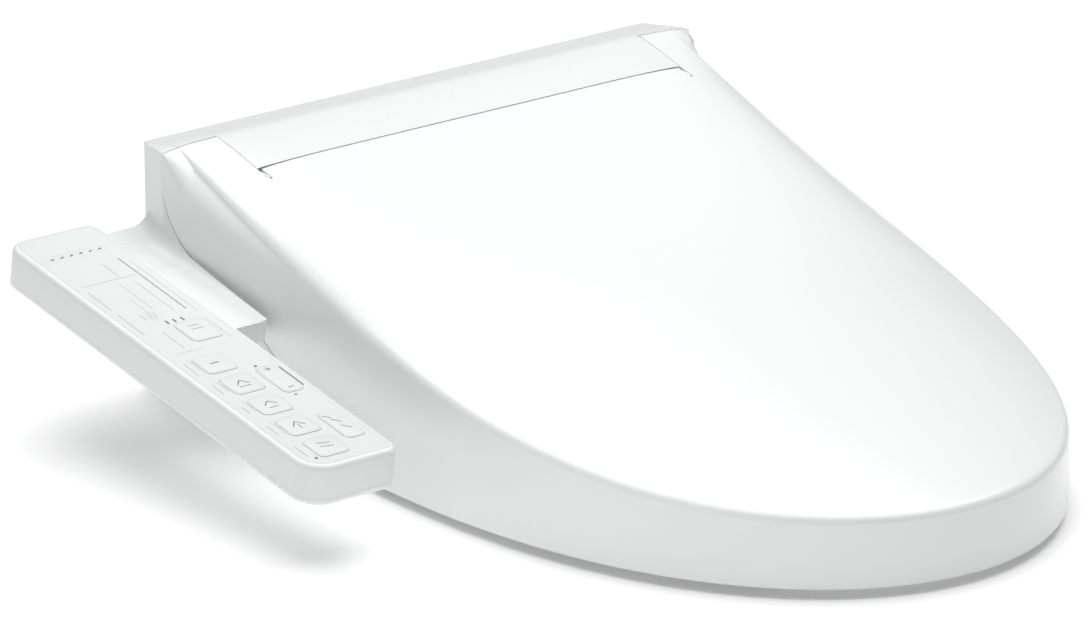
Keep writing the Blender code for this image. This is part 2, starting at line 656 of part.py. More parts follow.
def make_base():
    inset = WALL + GAP
    rear = REAR_Y - inset
    half = REAR_HALF - inset
    front = FRONT_WALL_Y + inset
    plan = [(-0.1825, front), (0.1825, front), (0.1855, 0.0), (0.1870, STRIP_Y - 0.002),
            (half - 0.001, rear - 0.008), (half - 0.008, rear), (0.008 - half, rear),
            (0.001 - half, rear - 0.008), (-0.1870, STRIP_Y - 0.002), (-0.1855, 0.0)]
    tray = prism("base_tray", plan, TRAY_Z, TRAY_TOP_Z, "Z", GREY)
    narrow = PLATE_HALF + 0.0005
    wide = narrow + PLATE_FLANGE
    start = -PLATE_DEPTH / 2 - GAP
    cut_box(tray, (-narrow, start, 0.0), (narrow, 0.09, PLATE_PAD_Z + 0.0004))
    cut_box(tray, (-wide, start, PLATE_PAD_Z - 0.0004), (wide, 0.09, PLATE_Z + GAP))
    cut_rod(tray, (INLET_X, INLET_Y, 0.0), (INLET_X, INLET_Y, 0.02), 0.0112)

    flange = PLATE_HALF + PLATE_FLANGE
    depth = PLATE_DEPTH / 2
    plate = box("mounting_plate", (-flange, -depth, PLATE_PAD_Z), (flange, depth, PLATE_Z), GREY)
    join_box(plate, (-PLATE_HALF, -depth, 0), (PLATE_HALF, depth, PLATE_Z - 0.002))
    for side in (-1, 1):
        middle = side * BOLT_SPACING / 2
        cut_box(plate, (middle - SLOT_LENGTH / 2, -SLOT_WIDTH / 2, -0.01),
                (middle + SLOT_LENGTH / 2, SLOT_WIDTH / 2, 0.02))
    box("release_button", BUTTON_LOW, BUTTON_HIGH, GREY, bevel=0.0015)
    set_pivot(("release_button",), middle_of(BUTTON_LOW, BUTTON_HIGH))


# ---------------------------------------------------------------- water, air and electrics
def make_water():
    profile = [(0.0, 0.024), (0.013, 0.024), (0.0135, 0.0235), (0.0135, 0.0117), (0.0103, 0.0115),
               (0.0103, 0.0028), (0.0098, 0.0022), (0.0052, 0.0022), (0.0052, 0.020), (0, 0.020)]
    inlet = turned("water_inlet", profile, BRASS)
    inlet.location = (INLET_X, INLET_Y, 0)
    valve = box("solenoid_valve", (INLET_X - 0.013, INLET_Y - 0.015, 0.0244),
                (INLET_X + 0.013, INLET_Y + 0.015, 0.046), DARK, bevel=0.002)
    join_rod(valve, (INLET_X, INLET_Y, 0.040), (INLET_X, INLET_Y, 0.068), 0.010)
    box("water_heater", (0.034, -0.022, TRAY_TOP_Z + GAP), (0.084, 0.050, 0.084), GREY, bevel=0.006)
    box("flow_regulator", (0.042, 0.000, 0.084 + GAP), (0.072, 0.034, 0.104), DARK, bevel=0.002)
    valve_side = INLET_X - 0.013 - GAP
    feed = [Vector(p) for p in ((valve_side - 0.003, INLET_Y, 0.034), (0.136, 0.044, 0.044),
                                (0.130, 0.044, 0.070), (0.106, 0.030, 0.092), (0.076 + GAP, 0.017, 0.094))]
    feed = [Vector((valve_side, INLET_Y, 0.034))] + smooth_route(feed, 4)
    feed += [Vector((0.072 + GAP, 0.017, 0.094))]
    tube("feed_hose", feed, 0.0035, RUBBER)
    wash = [Vector((0.038 - GAP, 0.017, 0.094)), Vector((0.030, 0.020, 0.098)),
            Vector((0.016, 0.038, 0.108)), wand_point(CRADLE_LENGTH + 0.012), wand_point(CRADLE_LENGTH + 0.004)]
    wash = [Vector((0.042 - GAP, 0.017, 0.094))] + smooth_route(wash, 4) + [wand_point(CRADLE_LENGTH + GAP)]
    tube("wash_hose", wash, 0.0030, RUBBER)
    rod("drain_plug", (0.060, 0.050 + GAP, 0.020), (0.060, REAR_Y - WALL - GAP, 0.020), 0.006, GREY,
        segments=16)


def wand_point(along, side=0.0, across=0.0):
    """Point on the wand's axis, measured back from its tip; across is square to it, upwards."""
    c, s = math.cos(WAND_SLOPE), math.sin(WAND_SLOPE)
    return Vector((side, WAND_TIP_Y + along * c - across * s, WAND_TIP_Z + along * s + across * c))


def make_nozzle():
    clear = WAND_RADIUS + 0.0005
    c = math.cos(WAND_SLOPE)
    frame = Matrix.Translation(wand_point(0)) @ Matrix.Rotation(WAND_SLOPE, 4, "X")
    trough = rounded_rectangle((-0.0115, -0.0105), (0.0115, 0.0105), (0.002,) * 4, 2)
    cradle = prism("nozzle_cradle", trough, 0.006, CRADLE_LENGTH, "Y", GREY)
    bore = rod("cut", (0, -0.01, 0), (0, WAND_LENGTH + GAP, 0), clear, collection=CUTTERS, segments=20)
    slot = box("cut", (-0.0030, -0.01, 0.002), (0.0030, WAND_LENGTH - 0.010, 0.02), collection=CUTTERS)
    for piece in (cradle, bore, slot):
        piece.data.transform(frame)
    combine(cradle, bore)
    combine(cradle, slot)
    post_y = wand_point(0.070).y
    post_top = WAND_TIP_Z + (post_y - 0.006 - WAND_TIP_Y) * math.tan(WAND_SLOPE) - 0.009 / c
    join_box(cradle, (-0.009, post_y - 0.006, TRAY_TOP_Z + GAP), (0.009, post_y + 0.006, post_top))
    rod("nozzle_wand", wand_point(TIP_LENGTH), wand_point(WAND_LENGTH), WAND_RADIUS, WHITE, segments=20)
    rod("nozzle_tip", wand_point(0), wand_point(TIP_LENGTH - GAP), WAND_RADIUS - 0.002, WHITE, segments=20,
        end_radius=WAND_RADIUS)
    set_pivot(("nozzle_wand", "nozzle_tip"), wand_point(0))

    axis = wand_point(GEAR_PLACE, 0, WAND_RADIUS + GEAR_RADIUS + GAP)
    teeth = []
    for tooth in range(12):
        start = 360 / 12 * tooth
        teeth += arc((axis.y, axis.z), GEAR_RADIUS, start, start + 12, 1)
        teeth += arc((axis.y, axis.z), GEAR_RADIUS - 0.0018, start + 18, start + 26, 1)
    prism("nozzle_gear", teeth, -0.0026, 0.0026, "X", GREY)
    set_pivot(("nozzle_gear",), axis)
    motor = rod("nozzle_motor", (-0.0122, axis.y, axis.z), (-0.030, axis.y, axis.z), 0.012, STEEL)
    join_rod(motor, (-0.0030, axis.y, axis.z), (-0.014, axis.y, axis.z), 0.0015, 12)
    join_box(motor, (-0.030 + GAP, axis.y - 0.006, TRAY_TOP_Z + GAP),
             (-0.0140, axis.y + 0.006, axis.z - 0.006))


def make_air():
    back = FAN_Y - FAN_RADIUS - 0.004
    scroll = arc((FAN_Y, FAN_Z), FAN_RADIUS, 150, -90, 14)
    outline = [(back, TRAY_TOP_Z + GAP), (back, FAN_Z + 0.012)] + scroll
    outline += [(FAN_Y - 0.010, TRAY_TOP_Z + GAP)]
    case = prism("fan_case", outline, FAN_X0, FAN_X1, "X", DARK)
    cut_rod(case, (FAN_X0 + 0.003, FAN_Y, FAN_Z), (FAN_X1 - 0.003, FAN_Y, FAN_Z), FAN_RADIUS - 0.003, 32)
    cut_rod(case, (FAN_X1 - 0.005, FAN_Y, FAN_Z), (FAN_X1 + 0.01, FAN_Y, FAN_Z), 0.014)
    cut_box(case, (FAN_X0 + 0.003, back - 0.006, 0.0136), (FAN_X1 - 0.003, FAN_Y - 0.010, 0.034))
    blades = []
    for blade in range(14):
        start = 360 / 14 * blade
        blades += arc((FAN_Y, FAN_Z), 0.0215, start, start + 8, 1)
        blades += arc((FAN_Y, FAN_Z), 0.0150, start + 11, start + 22, 1)
    wheel = prism("fan_wheel", blades, FAN_X0 + 0.007, FAN_X1 - 0.006, "X", GREY)
    join_rod(wheel, (FAN_X0 + 0.0034, FAN_Y, FAN_Z), (FAN_X0 + 0.009, FAN_Y, FAN_Z), 0.003)
    set_pivot(("fan_wheel",), (FAN_X0, FAN_Y, FAN_Z))
    make_duct(back - GAP)
    flap_low = (OUTLET_X0 + 0.0005, FRONT_WALL_Y - 0.0018, OUTLET_Z0 + 0.0005)
    flap_high = (OUTLET_X1 - 0.0005, FRONT_WALL_Y + GAP, OUTLET_Z1 - 0.0006)
    box("dryer_flap", flap_low, flap_high, WHITE)
    set_pivot(("dryer_flap",), FLAP_HINGE)
    cartridge = box("deodoriser_cartridge", CARTRIDGE_LOW, CARTRIDGE_HIGH, GREY, bevel=0.0015)
    cut_box(cartridge, (0.148, -0.0335, 0.030), (0.180, -0.0065, 0.07))
    set_pivot(("deodoriser_cartridge",), middle_of(CARTRIDGE_LOW, CARTRIDGE_HIGH))


def make_duct(rear):
    """Air duct from the fan to the outlet in the front wall."""
    front = FRONT_WALL_Y + WALL + GAP
    back = front + 0.0236
    low = TRAY_TOP_Z + GAP
    duct = box("dryer_duct", (FAN_X0, front, low), (FAN_X1, rear, 0.038), GREY)
    join_box(duct, (OUTLET_X0 - 0.002, front, low), (FAN_X0 + 0.001, back, 0.030))
    cut_box(duct, (FAN_X0 + 0.002, front + 0.002, 0.0136), (FAN_X1 - 0.002, 0.0, 0.0344))
    cut_box(duct, (OUTLET_X0, front + 0.0021, 0.0137), (FAN_X0 + 0.003, back - 0.002, OUTLET_Z1 + 0.0005))
    cut_box(duct, (OUTLET_X0 + 0.0003, -0.06, OUTLET_Z0 + 0.0003), (OUTLET_X1, front + 0.003, OUTLET_Z1))


def make_electrics():
    low, high = (-0.150, -0.040, TRAY_TOP_Z + GAP), (-0.040, 0.040, 0.040)
    case = box("board_case", low, high, DARK)
    cut_box(case, (low[0] + 0.002, low[1] + 0.002, low[2] + 0.002), (high[0] - 0.002, high[1] - 0.002, 0.06))
    board = box("main_board", (low[0] + 0.0025, low[1] + 0.0025, low[2] + 0.0024),
                (high[0] - 0.0025, high[1] - 0.0025, low[2] + 0.0040), CIRCUIT)
    top = low[2] + 0.0035
    join_box(board, (-0.140, -0.030, top), (-0.108, 0.004, top + 0.022))
    join_box(board, (-0.098, 0.006, top), (-0.076, 0.030, top + 0.016))
    join_box(board, (-0.090, -0.032, top), (-0.052, -0.010, top + 0.010))
    gland = rod("cord_gland", (GLAND_X, 0.054, GLAND_Z), (GLAND_X, REAR_Y - WALL - GAP, GLAND_Z), 0.0115,
                DARK)
    join_rod(gland, (GLAND_X, 0.058, GLAND_Z), (GLAND_X, REAR_Y - 0.0003, GLAND_Z), 0.0080)
    cut_rod(gland, (GLAND_X, 0.04, GLAND_Z), (GLAND_X, 0.08, GLAND_Z), 0.0040)
    box("occupancy_window", (-0.020, FRONT_WALL_Y - 0.0014, 0.070), (0.020, FRONT_WALL_Y - GAP, 0.082), DARK)
    screws = ((-0.168, 0.040), (-0.168, -0.030), (0.134, -0.036), (0.030, 0.056))
    for index, (x, y) in enumerate(screws, start=1):
        rod(f"base_screw_{index}", (x, y, TRAY_TOP_Z + GAP), (x, y, TRAY_TOP_Z + 0.004), 0.0035, STEEL,
            segments=12)


# ---------------------------------------------------------------- the control arm
def arm_outline(inset):
    corners = (ARM_OUTER_ROUND, ARM_INNER_ROUND, ARM_INNER_ROUND, ARM_REAR_ROUND)
    rounds = [corner - inset for corner in corners]
    return rounded_rectangle((inset, inset - ARM_LENGTH), (ARM_WIDTH - inset, -inset), rounds, 5)


def key_outline(key, grow):
    _, x, along, width, length = key
    low = (x - width / 2 - grow, -along - length / 2 - grow)
    high = (x + width / 2 + grow, -along + length / 2 + grow)
    return rounded_rectangle(low, high, (0.004 + grow,) * 4, 3)


def window_outline(grow):
    low = (WINDOW_LOW[0] - grow, WINDOW_LOW[1] - grow)
    high = (WINDOW_HIGH[0] + grow, WINDOW_HIGH[1] + grow)
    return rounded_rectangle(low, high, (0.002 + grow,) * 4, 2)


def make_arm():
    upper = tilt(prism("arm_upper_case", arm_outline(0), -ARM_SPLIT, 0, "Z", WHITE))
    room = tilt(prism("cut", arm_outline(ARM_WALL), -ARM_SPLIT - 0.01, -ARM_WALL, "Z", None, CUTTERS))
    recess = tilt(prism("cut", arm_outline(0.004), -OVERLAY - GAP, 0.01, "Z", None, CUTTERS))
    combine(upper, room)
    combine(upper, recess)
    film = tilt(prism("panel_overlay", arm_outline(0.004 + GAP), -OVERLAY, 0, "Z", PANEL))
    for key in KEYS:
        hole = tilt(prism("cut", key_outline(key, GAP), -0.01, 0.01, "Z", None, CUTTERS))
        combine(upper, hole)
        combine(film, hole)
        tilt(prism(key[0], key_outline(key, 0), KEY_TRAVEL + GAP - BOARD_DEPTH, KEY_PROUD, "Z", PANEL))
        set_pivot((key[0],), ON_ARM @ Vector((key[1], -key[2], 0)))
    lens = window_outline(0)
    slot = window_outline(GAP)
    slot_cut = tilt(prism("cut", slot, -0.01, 0.01, "Z", None, CUTTERS))
    combine(upper, slot_cut)
    combine(film, slot_cut)
    tilt(prism("indicator_window", lens, GAP - BOARD_DEPTH, 0, "Z", PANEL))

    lower = tilt(prism("arm_lower_case", arm_outline(0.0), -ARM_THICK, -ARM_SPLIT - GAP, "Z", WHITE))
    floor = tilt(prism("cut", arm_outline(ARM_WALL), -ARM_THICK + ARM_FLOOR, 0, "Z", None, CUTTERS))
    combine(lower, floor)
    for share in (0.17, 0.50, 0.81):
        along = share * ARM_LENGTH
        rib = box("join", (0.008, -along - 0.002, -ARM_THICK + ARM_FLOOR - 0.001),
                  (ARM_WIDTH - 0.008, -along + 0.002, -BOARD_DEPTH - BOARD - GAP), collection=CUTTERS)
        combine(lower, tilt(rib), "UNION")
    tilt(prism("panel_board", arm_outline(0.005), -BOARD_DEPTH - BOARD, -BOARD_DEPTH, "Z", CIRCUIT))
    for index, along in enumerate((0.030, ARM_LENGTH - 0.030), start=1):
        head = (ARM_WIDTH / 2, -along, -ARM_THICK + ARM_FLOOR + GAP)
        end = (ARM_WIDTH / 2, -along, -ARM_THICK + ARM_FLOOR + 0.0035)
        tilt(rod(f"arm_screw_{index}", head, end, 0.0030, STEEL, segments=12))


make_lid()
make_seat()
make_rear_cover()
make_base()
make_water()
make_nozzle()
make_air()
make_electrics()
make_arm()
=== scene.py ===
# %% [markdown]
# # An electric bidet seat
# A bidet seat is a thin-walled plastic lid over a heated seat, a housing behind them with the water
# and air parts, and a control arm at the side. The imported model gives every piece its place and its
# joint. This lesson rebuilds the mouldings with their rounded edges, prints the keypad and gives
# each material its finish.

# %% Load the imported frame
import json
import math

import bmesh
import bpy
from mathutils import Matrix, Vector


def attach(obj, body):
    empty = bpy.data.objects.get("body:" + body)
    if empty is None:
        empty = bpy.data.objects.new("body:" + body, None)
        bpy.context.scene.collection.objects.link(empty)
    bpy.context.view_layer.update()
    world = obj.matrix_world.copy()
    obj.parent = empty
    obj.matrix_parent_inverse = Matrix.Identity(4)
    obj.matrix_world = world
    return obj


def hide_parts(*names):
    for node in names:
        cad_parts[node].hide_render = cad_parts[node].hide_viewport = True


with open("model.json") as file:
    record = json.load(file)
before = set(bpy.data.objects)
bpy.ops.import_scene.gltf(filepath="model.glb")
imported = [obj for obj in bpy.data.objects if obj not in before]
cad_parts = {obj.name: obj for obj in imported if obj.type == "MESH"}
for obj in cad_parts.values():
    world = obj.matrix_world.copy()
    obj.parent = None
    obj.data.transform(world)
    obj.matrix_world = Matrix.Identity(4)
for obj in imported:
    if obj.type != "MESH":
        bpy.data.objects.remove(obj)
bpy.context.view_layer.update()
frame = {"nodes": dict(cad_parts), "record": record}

MM = 0.001

# %% [markdown]
# ## Camera
# The object is seen from its front left, a little from above, through a long lens, so that parallel
# edges stay almost parallel. A camera is placed on a sphere round a target and looks back at it.

# %% Place the camera
TARGET = Vector((-69.49, -165.0, 88.04)) * MM
AZIMUTH, ELEVATION, DISTANCE = math.radians(-37.79), math.radians(19.71), 4.5007
FOCAL = 36 * 7943.65 / 1090
toward = Vector((math.sin(AZIMUTH) * math.cos(ELEVATION), -math.cos(AZIMUTH) * math.cos(ELEVATION),
                 math.sin(ELEVATION)))
lens = bpy.data.cameras.new("studio_camera")
lens.lens = FOCAL
lens.sensor_width = 36
lens.clip_end = 50
camera = bpy.data.objects.new("studio_camera", lens)
camera.location = TARGET + toward * DISTANCE
camera.rotation_euler = (-toward).to_track_quat("-Z", "Y").to_euler()
bpy.context.scene.collection.objects.link(camera)
bpy.context.scene.camera = camera
print("camera at", [round(v, 3) for v in camera.location])

# %% [markdown]
# ## Materials
# Nearly everything here is moulded plastic. Its colour is even, so the eye reads it by its gloss:
# the width of a highlight and the faint waviness in it. One function turns sRGB hex colours to
# linear, and one adds a node with its settings and links.

# %% Colour and node helpers
def colour(hex_text):
    """An sRGB hex colour as linear RGBA."""
    parts = [int(hex_text[i:i + 2], 16) / 255 for i in (1, 3, 5)]
    linear = [p / 12.92 if p <= 0.04045 else ((p + 0.055) / 1.055) ** 2.4 for p in parts]
    return (*linear, 1.0)


def node(tree, kind, settings=None, **inputs):
    """Add a node; inputs, by name or as i and a number, are values or the sockets that feed them."""
    made = tree.nodes.new(kind)
    for name, value in (settings or {}).items():
        setattr(made, name, value)
    for name, value in inputs.items():
        socket = made.inputs[int(name[1:])] if name[0] == "i" and name[1:].isdigit() else \
            made.inputs[name.replace("_", " ")]
        if isinstance(value, bpy.types.NodeSocket):
            tree.links.new(value, socket)
        else:
            socket.default_value = value
    return made


def finish(name, base, roughness, metallic=0.0, ior=1.5):
    """A new material with its Principled shader set, and the Object coordinates that patterns use."""
    made = bpy.data.materials.new(name)
    made.use_nodes = True
    tree = made.node_tree
    shader = tree.nodes["Principled BSDF"]
    shader.inputs["Base Color"].default_value = colour(base)
    shader.inputs["Roughness"].default_value = roughness
    shader.inputs["Metallic"].default_value = metallic
    if not metallic:
        shader.inputs["IOR"].default_value = ior
    place = node(tree, "ShaderNodeTexCoord")
    return made, tree, shader, place.outputs["Object"]


def relief(tree, shader, height, depth):
    """Turn a height pattern into bump; depth is in metres."""
    bump = node(tree, "ShaderNodeBump", Strength=1.0, Distance=depth, Height=height)
    tree.links.new(bump.outputs["Normal"], shader.inputs["Normal"])


print("mid grey #808080 is", round(colour("#808080")[0], 3), "in linear light")

# %% [markdown]
# ### Glossy white moulding
# Lids like this are polypropylene or ABS from a polished mould. The gloss is high but not a mirror:
# the plastic shrinks as it cools, so reflections waver over 10 to 30 mm, and a very fine orange peel
# breaks them up. Both are noise, one wide and one fine, and the roughness varies a little with use.

# %% White mouldings
def white_moulding(name, base, roughness, waver=0.00003, peel=0.000004):
    """Waver and peel are the depths, in metres, of the wide and the fine unevenness."""
    made, tree, shader, place = finish(name, base, roughness, ior=1.49)
    wide = node(tree, "ShaderNodeTexNoise", Vector=place, Scale=1 / (25 * MM), Detail=1.0)
    fine = node(tree, "ShaderNodeTexNoise", Vector=place, Scale=1 / (1.2 * MM), Detail=2.0)
    fine_part = node(tree, "ShaderNodeMath", {"operation": "MULTIPLY"}, i0=fine.outputs["Fac"],
                     i1=peel / waver)
    both = node(tree, "ShaderNodeMath", {"operation": "ADD"}, i0=wide.outputs["Fac"],
                i1=fine_part.outputs[0])
    relief(tree, shader, both.outputs[0], waver)
    wear = node(tree, "ShaderNodeTexNoise", Vector=place, Scale=1 / (60 * MM), Detail=1.0)
    spread = node(tree, "ShaderNodeMapRange", Value=wear.outputs["Fac"], i3=roughness - 0.02,
                  i4=roughness + 0.02)
    tree.links.new(spread.outputs[0], shader.inputs["Roughness"])
    return made


LID_WHITE = white_moulding("moulded_polypropylene_gloss", "#F4F5F5", 0.24)
CASE_WHITE = white_moulding("moulded_abs_gloss", "#EDEEEE", 0.28, waver=0.00001)
KEY_WHITE = white_moulding("moulded_abs_satin_keycap", "#F0F1F1", 0.36, waver=0.00001)
print("white mouldings:", LID_WHITE.name, CASE_WHITE.name, KEY_WHITE.name)

# %% [markdown]
# ### Panel film and its printing
# The keypad is covered by a hard-coated polyester film with a fine matt grain on its face, about
# 0.3 mm across. The marks are screen printed in grey ink, which lies a few hundredths of a
# millimetre thick and is more matt than the film.

# %% Film and inks
def panel_film():
    """Matt film: shallow cells of 0.3 mm break up reflections."""
    made, tree, shader, place = finish("hard_coated_polyester_film", "#E3E5E5", 0.42, ior=1.57)
    grain = node(tree, "ShaderNodeTexVoronoi", Vector=place, Scale=1 / (0.3 * MM))
    relief(tree, shader, grain.outputs["Distance"], 0.000006)
    return made


def printed_ink(name, base):
    """Ink with the faint unevenness of the screen's mesh."""
    made, tree, shader, place = finish(name, base, 0.55, ior=1.5)
    speck = node(tree, "ShaderNodeTexNoise", Vector=place, Scale=1 / (0.25 * MM), Detail=2.0)
    relief(tree, shader, speck.outputs["Fac"], 0.000008)
    return made


FILM = panel_film()
INK = {"dark": printed_ink("screen_printed_ink_dark", "#5A5D5E"),
       "mid": printed_ink("screen_printed_ink_grey", "#A9ACAD"),
       "pale": printed_ink("screen_printed_ink_pale", "#CDD0D1")}
print("inks:", len(INK))

# %% [markdown]
# ### Grey and dark mouldings
# Pieces that are not meant to be seen come out of a spark-eroded mould. It leaves a matt skin of
# rounded grains, a few tenths of a millimetre wide, which scatters highlights.

# %% Textured mouldings, rubber
def grained(name, base, roughness, grain_mm, depth, ior=1.5):
    """Rounded grains of a given width and depth, and a slow change of shade from the melt's flow."""
    made, tree, shader, place = finish(name, base, roughness, ior=ior)
    grains = node(tree, "ShaderNodeTexVoronoi", {"feature": "SMOOTH_F1"}, Vector=place,
                  Scale=1 / (grain_mm * MM))
    relief(tree, shader, grains.outputs["Distance"], depth)
    cloud = node(tree, "ShaderNodeTexNoise", Vector=place, Scale=1 / (18 * MM), Detail=3.0)
    shade = node(tree, "ShaderNodeValToRGB", Fac=cloud.outputs["Fac"])
    low = colour(base)
    shade.color_ramp.elements[0].color = (*[c * 0.9 for c in low[:3]], 1)
    shade.color_ramp.elements[1].color = (*[min(c * 1.08, 1) for c in low[:3]], 1)
    tree.links.new(shade.outputs["Color"], shader.inputs["Base Color"])
    return made


GREY = grained("spark_eroded_polypropylene_grey", "#B9BCBD", 0.55, 0.5, 0.00003)
DARK = grained("spark_eroded_abs_dark", "#2C2D2F", 0.5, 0.5, 0.00003)
RUBBER = grained("moulded_elastomer_pale", "#D9DAD8", 0.75, 0.8, 0.00004, ior=1.52)
HOSE = grained("extruded_silicone_tube", "#D5D8D6", 0.4, 1.2, 0.00001, ior=1.43)
print("textured mouldings made")

# %% [markdown]
# ### Metals
# The hinge arms are blanked from stainless strip that was brushed along its length, and the pins
# are ground across it. The water fitting is turned brass, so its lines run round its axis, and the
# heater is aluminium foil with rolling lines. Real brush lines are finer than 0.1 mm and would not
# show, so they are drawn 0.3 to 0.8 mm apart. They break a highlight into a soft streak.

# %% Stainless steel, brass and foil
def lined_metal(name, base, roughness, stretch, line_mm, depth):
    """Metal with fine lines; stretch is how the pattern is scaled along X, Y and Z."""
    made, tree, shader, place = finish(name, base, roughness, metallic=1.0)
    pulled = node(tree, "ShaderNodeMapping", Vector=place, Scale=stretch)
    lines = node(tree, "ShaderNodeTexNoise", Vector=pulled.outputs["Vector"],
                 Scale=1 / (line_mm * MM), Detail=3.0)
    relief(tree, shader, lines.outputs["Fac"], depth)
    spread = node(tree, "ShaderNodeMapRange", Value=lines.outputs["Fac"], i3=roughness - 0.08,
                  i4=roughness + 0.1)
    tree.links.new(spread.outputs[0], shader.inputs["Roughness"])
    return made


STEEL = lined_metal("brushed_stainless_strip", "#C9C8C4", 0.32, (1, 0.04, 1), 0.5, 0.00001)
PIN_STEEL = lined_metal("ground_stainless_rod", "#CFCFCC", 0.22, (0.05, 1, 1), 0.4, 0.000006)
BRASS = lined_metal("turned_brass", "#CDA85A", 0.26, (0.02, 0.02, 1), 0.3, 0.00001)
FOIL = lined_metal("rolled_aluminium_foil", "#D8D9DA", 0.3, (1, 0.03, 1), 0.8, 0.00002)
print("metals made")

# %% [markdown]
# ### Circuit board and smoked window
# A board is green solder mask over copper tracks, which show as slightly lighter lines. The sensor
# window is a dark, polished acrylic that only infrared passes, so the eye sees a black gloss.

# %% Board and window
def circuit_board():
    """Green mask with lighter tracks that stand up a little."""
    made, tree, shader, place = finish("solder_mask_green", "#1E6B3C", 0.35, ior=1.55)
    tracks = node(tree, "ShaderNodeTexBrick", {"offset": 0.37}, Vector=place, Scale=1 / (20 * MM),
                  Color1=colour("#1E6B3C"), Color2=colour("#23733F"), Mortar=colour("#3E9A58"),
                  Mortar_Size=0.02)
    tree.links.new(tracks.outputs["Color"], shader.inputs["Base Color"])
    relief(tree, shader, tracks.outputs["Fac"], 0.00004)
    return made


def smoked_window():
    """Dark gloss with a faint waver."""
    made, tree, shader, place = finish("smoked_acrylic", "#1B1416", 0.08, ior=1.49)
    waver = node(tree, "ShaderNodeTexNoise", Vector=place, Scale=1 / (15 * MM), Detail=1.0)
    relief(tree, shader, waver.outputs["Fac"], 0.00002)
    return made


BOARD = circuit_board()
SMOKED = smoked_window()
print("board and window made")

# %% [markdown]
# ## Modelling helpers
# Every piece starts as a bmesh and ends as an object at the origin, with its place in its mesh. The
# way there is always the same, so it is one function: merge doubles, turn the faces outwards, and
# shade smoothly except where two faces meet at a sharp angle.

# %% From bmesh to object
SHARP = 35      # degrees between two faces, above which their edge stays sharp


def to_object(bm, name, sharp=SHARP):
    """Merge doubles, turn the faces outwards and make an object, smooth except at sharp corners."""
    bmesh.ops.remove_doubles(bm, verts=bm.verts, dist=0.00001)
    bmesh.ops.recalc_face_normals(bm, faces=bm.faces)
    mesh = bpy.data.meshes.new(name)
    bm.to_mesh(mesh)
    bm.free()
    piece = bpy.data.objects.new(name, mesh)
    bpy.context.scene.collection.objects.link(piece)
    smooth(piece, sharp)
    return piece


def smooth(piece, sharp=SHARP):
    """Shade smoothly, but keep edges sharp where faces meet at more than the given angle."""
    piece.data.shade_smooth()
    piece.data.set_sharp_from_angle(angle=math.radians(sharp))


print("edges stay sharp above", SHARP, "degrees")

# %% [markdown]
# ### Prisms and bars
# Most flat mouldings and all cutters are an outline with a thickness. One face is extruded and its
# rims are bevelled, which is quicker and cleaner than moving the corners of a cube. A bar is a cone
# between two points; with equal radii it is a cylinder.

# %% Prisms, blocks and bars
def prism(name, outline, low, high, axis="Z", bevel_top=0.0, bevel_low=0.0, segments=5, place=None):
    """Extrude an outline; its upper and lower rims can be rounded."""
    bm = bmesh.new()
    face = bm.faces.new([bm.verts.new((u, v, low)) for u, v in outline])
    grown = bmesh.ops.extrude_face_region(bm, geom=[face])
    raised = [v for v in grown["geom"] if isinstance(v, bmesh.types.BMVert)]
    bmesh.ops.translate(bm, verts=raised, vec=(0, 0, high - low))
    for height, width in ((high, bevel_top), (low, bevel_low)):
        if width:
            rim = [e for e in bm.edges if all(abs(v.co.z - height) < 1e-7 for v in e.verts)]
            bmesh.ops.bevel(bm, geom=rim, offset=width, offset_type="OFFSET", segments=segments,
                            profile=0.5, affect="EDGES", clamp_overlap=True, material=-1)
    if axis == "X":
        bm.transform(Matrix(((0, 0, 1, 0), (1, 0, 0, 0), (0, 1, 0, 0), (0, 0, 0, 1))))
    elif axis == "Y":
        bm.transform(Matrix(((1, 0, 0, 0), (0, 0, 1, 0), (0, 1, 0, 0), (0, 0, 0, 1))))
    if place:
        bm.transform(place)
    return to_object(bm, name)


def block(name, low, high, bevel=0.0, place=None):
    """A box between two corners, with its upper and lower rims rounded if asked."""
    outline = [(low[0], low[1]), (high[0], low[1]), (high[0], high[1]), (low[0], high[1])]
    return prism(name, outline, low[2], high[2], "Z", bevel, bevel, 3, place)


def round_bar(name, start, end, radius, segments=32, bevel=0.0, end_radius=None):
    """A cylinder or cone between two points, with rounded ends if asked."""
    start, end = Vector(start), Vector(end)
    span = end - start
    bm = bmesh.new()
    bmesh.ops.create_cone(bm, cap_ends=True, segments=segments, radius1=radius,
                          radius2=radius if end_radius is None else end_radius, depth=span.length)
    if bevel:
        rims = [e for e in bm.edges if abs(e.verts[0].co.z - e.verts[1].co.z) < 1e-7]
        bmesh.ops.bevel(bm, geom=rims, offset=bevel, segments=3, profile=0.5, affect="EDGES",
                        clamp_overlap=True, material=-1)
    turn = span.to_track_quat("Z", "Y").to_matrix().to_4x4()
    bm.transform(Matrix.Translation((start + end) / 2) @ turn)
    return to_object(bm, name)


print("helpers for prisms, blocks and bars are ready")

# %% [markdown]
# ### Booleans and stacks of rings
# A thin-walled moulding is a stack of rings: one loop of edges is extruded again and again, and each
# new loop is moved to its place. Holes and joined bodies are made with a Boolean, which is applied
# at once, so that every finished piece is one mesh. The exact solver is slower than the fast one,
# but it copes with faces that lie in one plane.

# %% Booleans and rings
def carve(piece, other, operation="DIFFERENCE", sharp=SHARP):
    """Boolean with another object, applied at once; the other object is used up."""
    change = piece.modifiers.new("carve", "BOOLEAN")
    change.operation = operation
    change.solver = "EXACT"
    change.object = other
    bpy.context.view_layer.update()
    evaluated = piece.evaluated_get(bpy.context.evaluated_depsgraph_get())
    mesh = bpy.data.meshes.new_from_object(evaluated)
    piece.modifiers.clear()
    piece.data = mesh
    bpy.data.objects.remove(other, do_unlink=True)
    smooth(piece, sharp)
    return piece


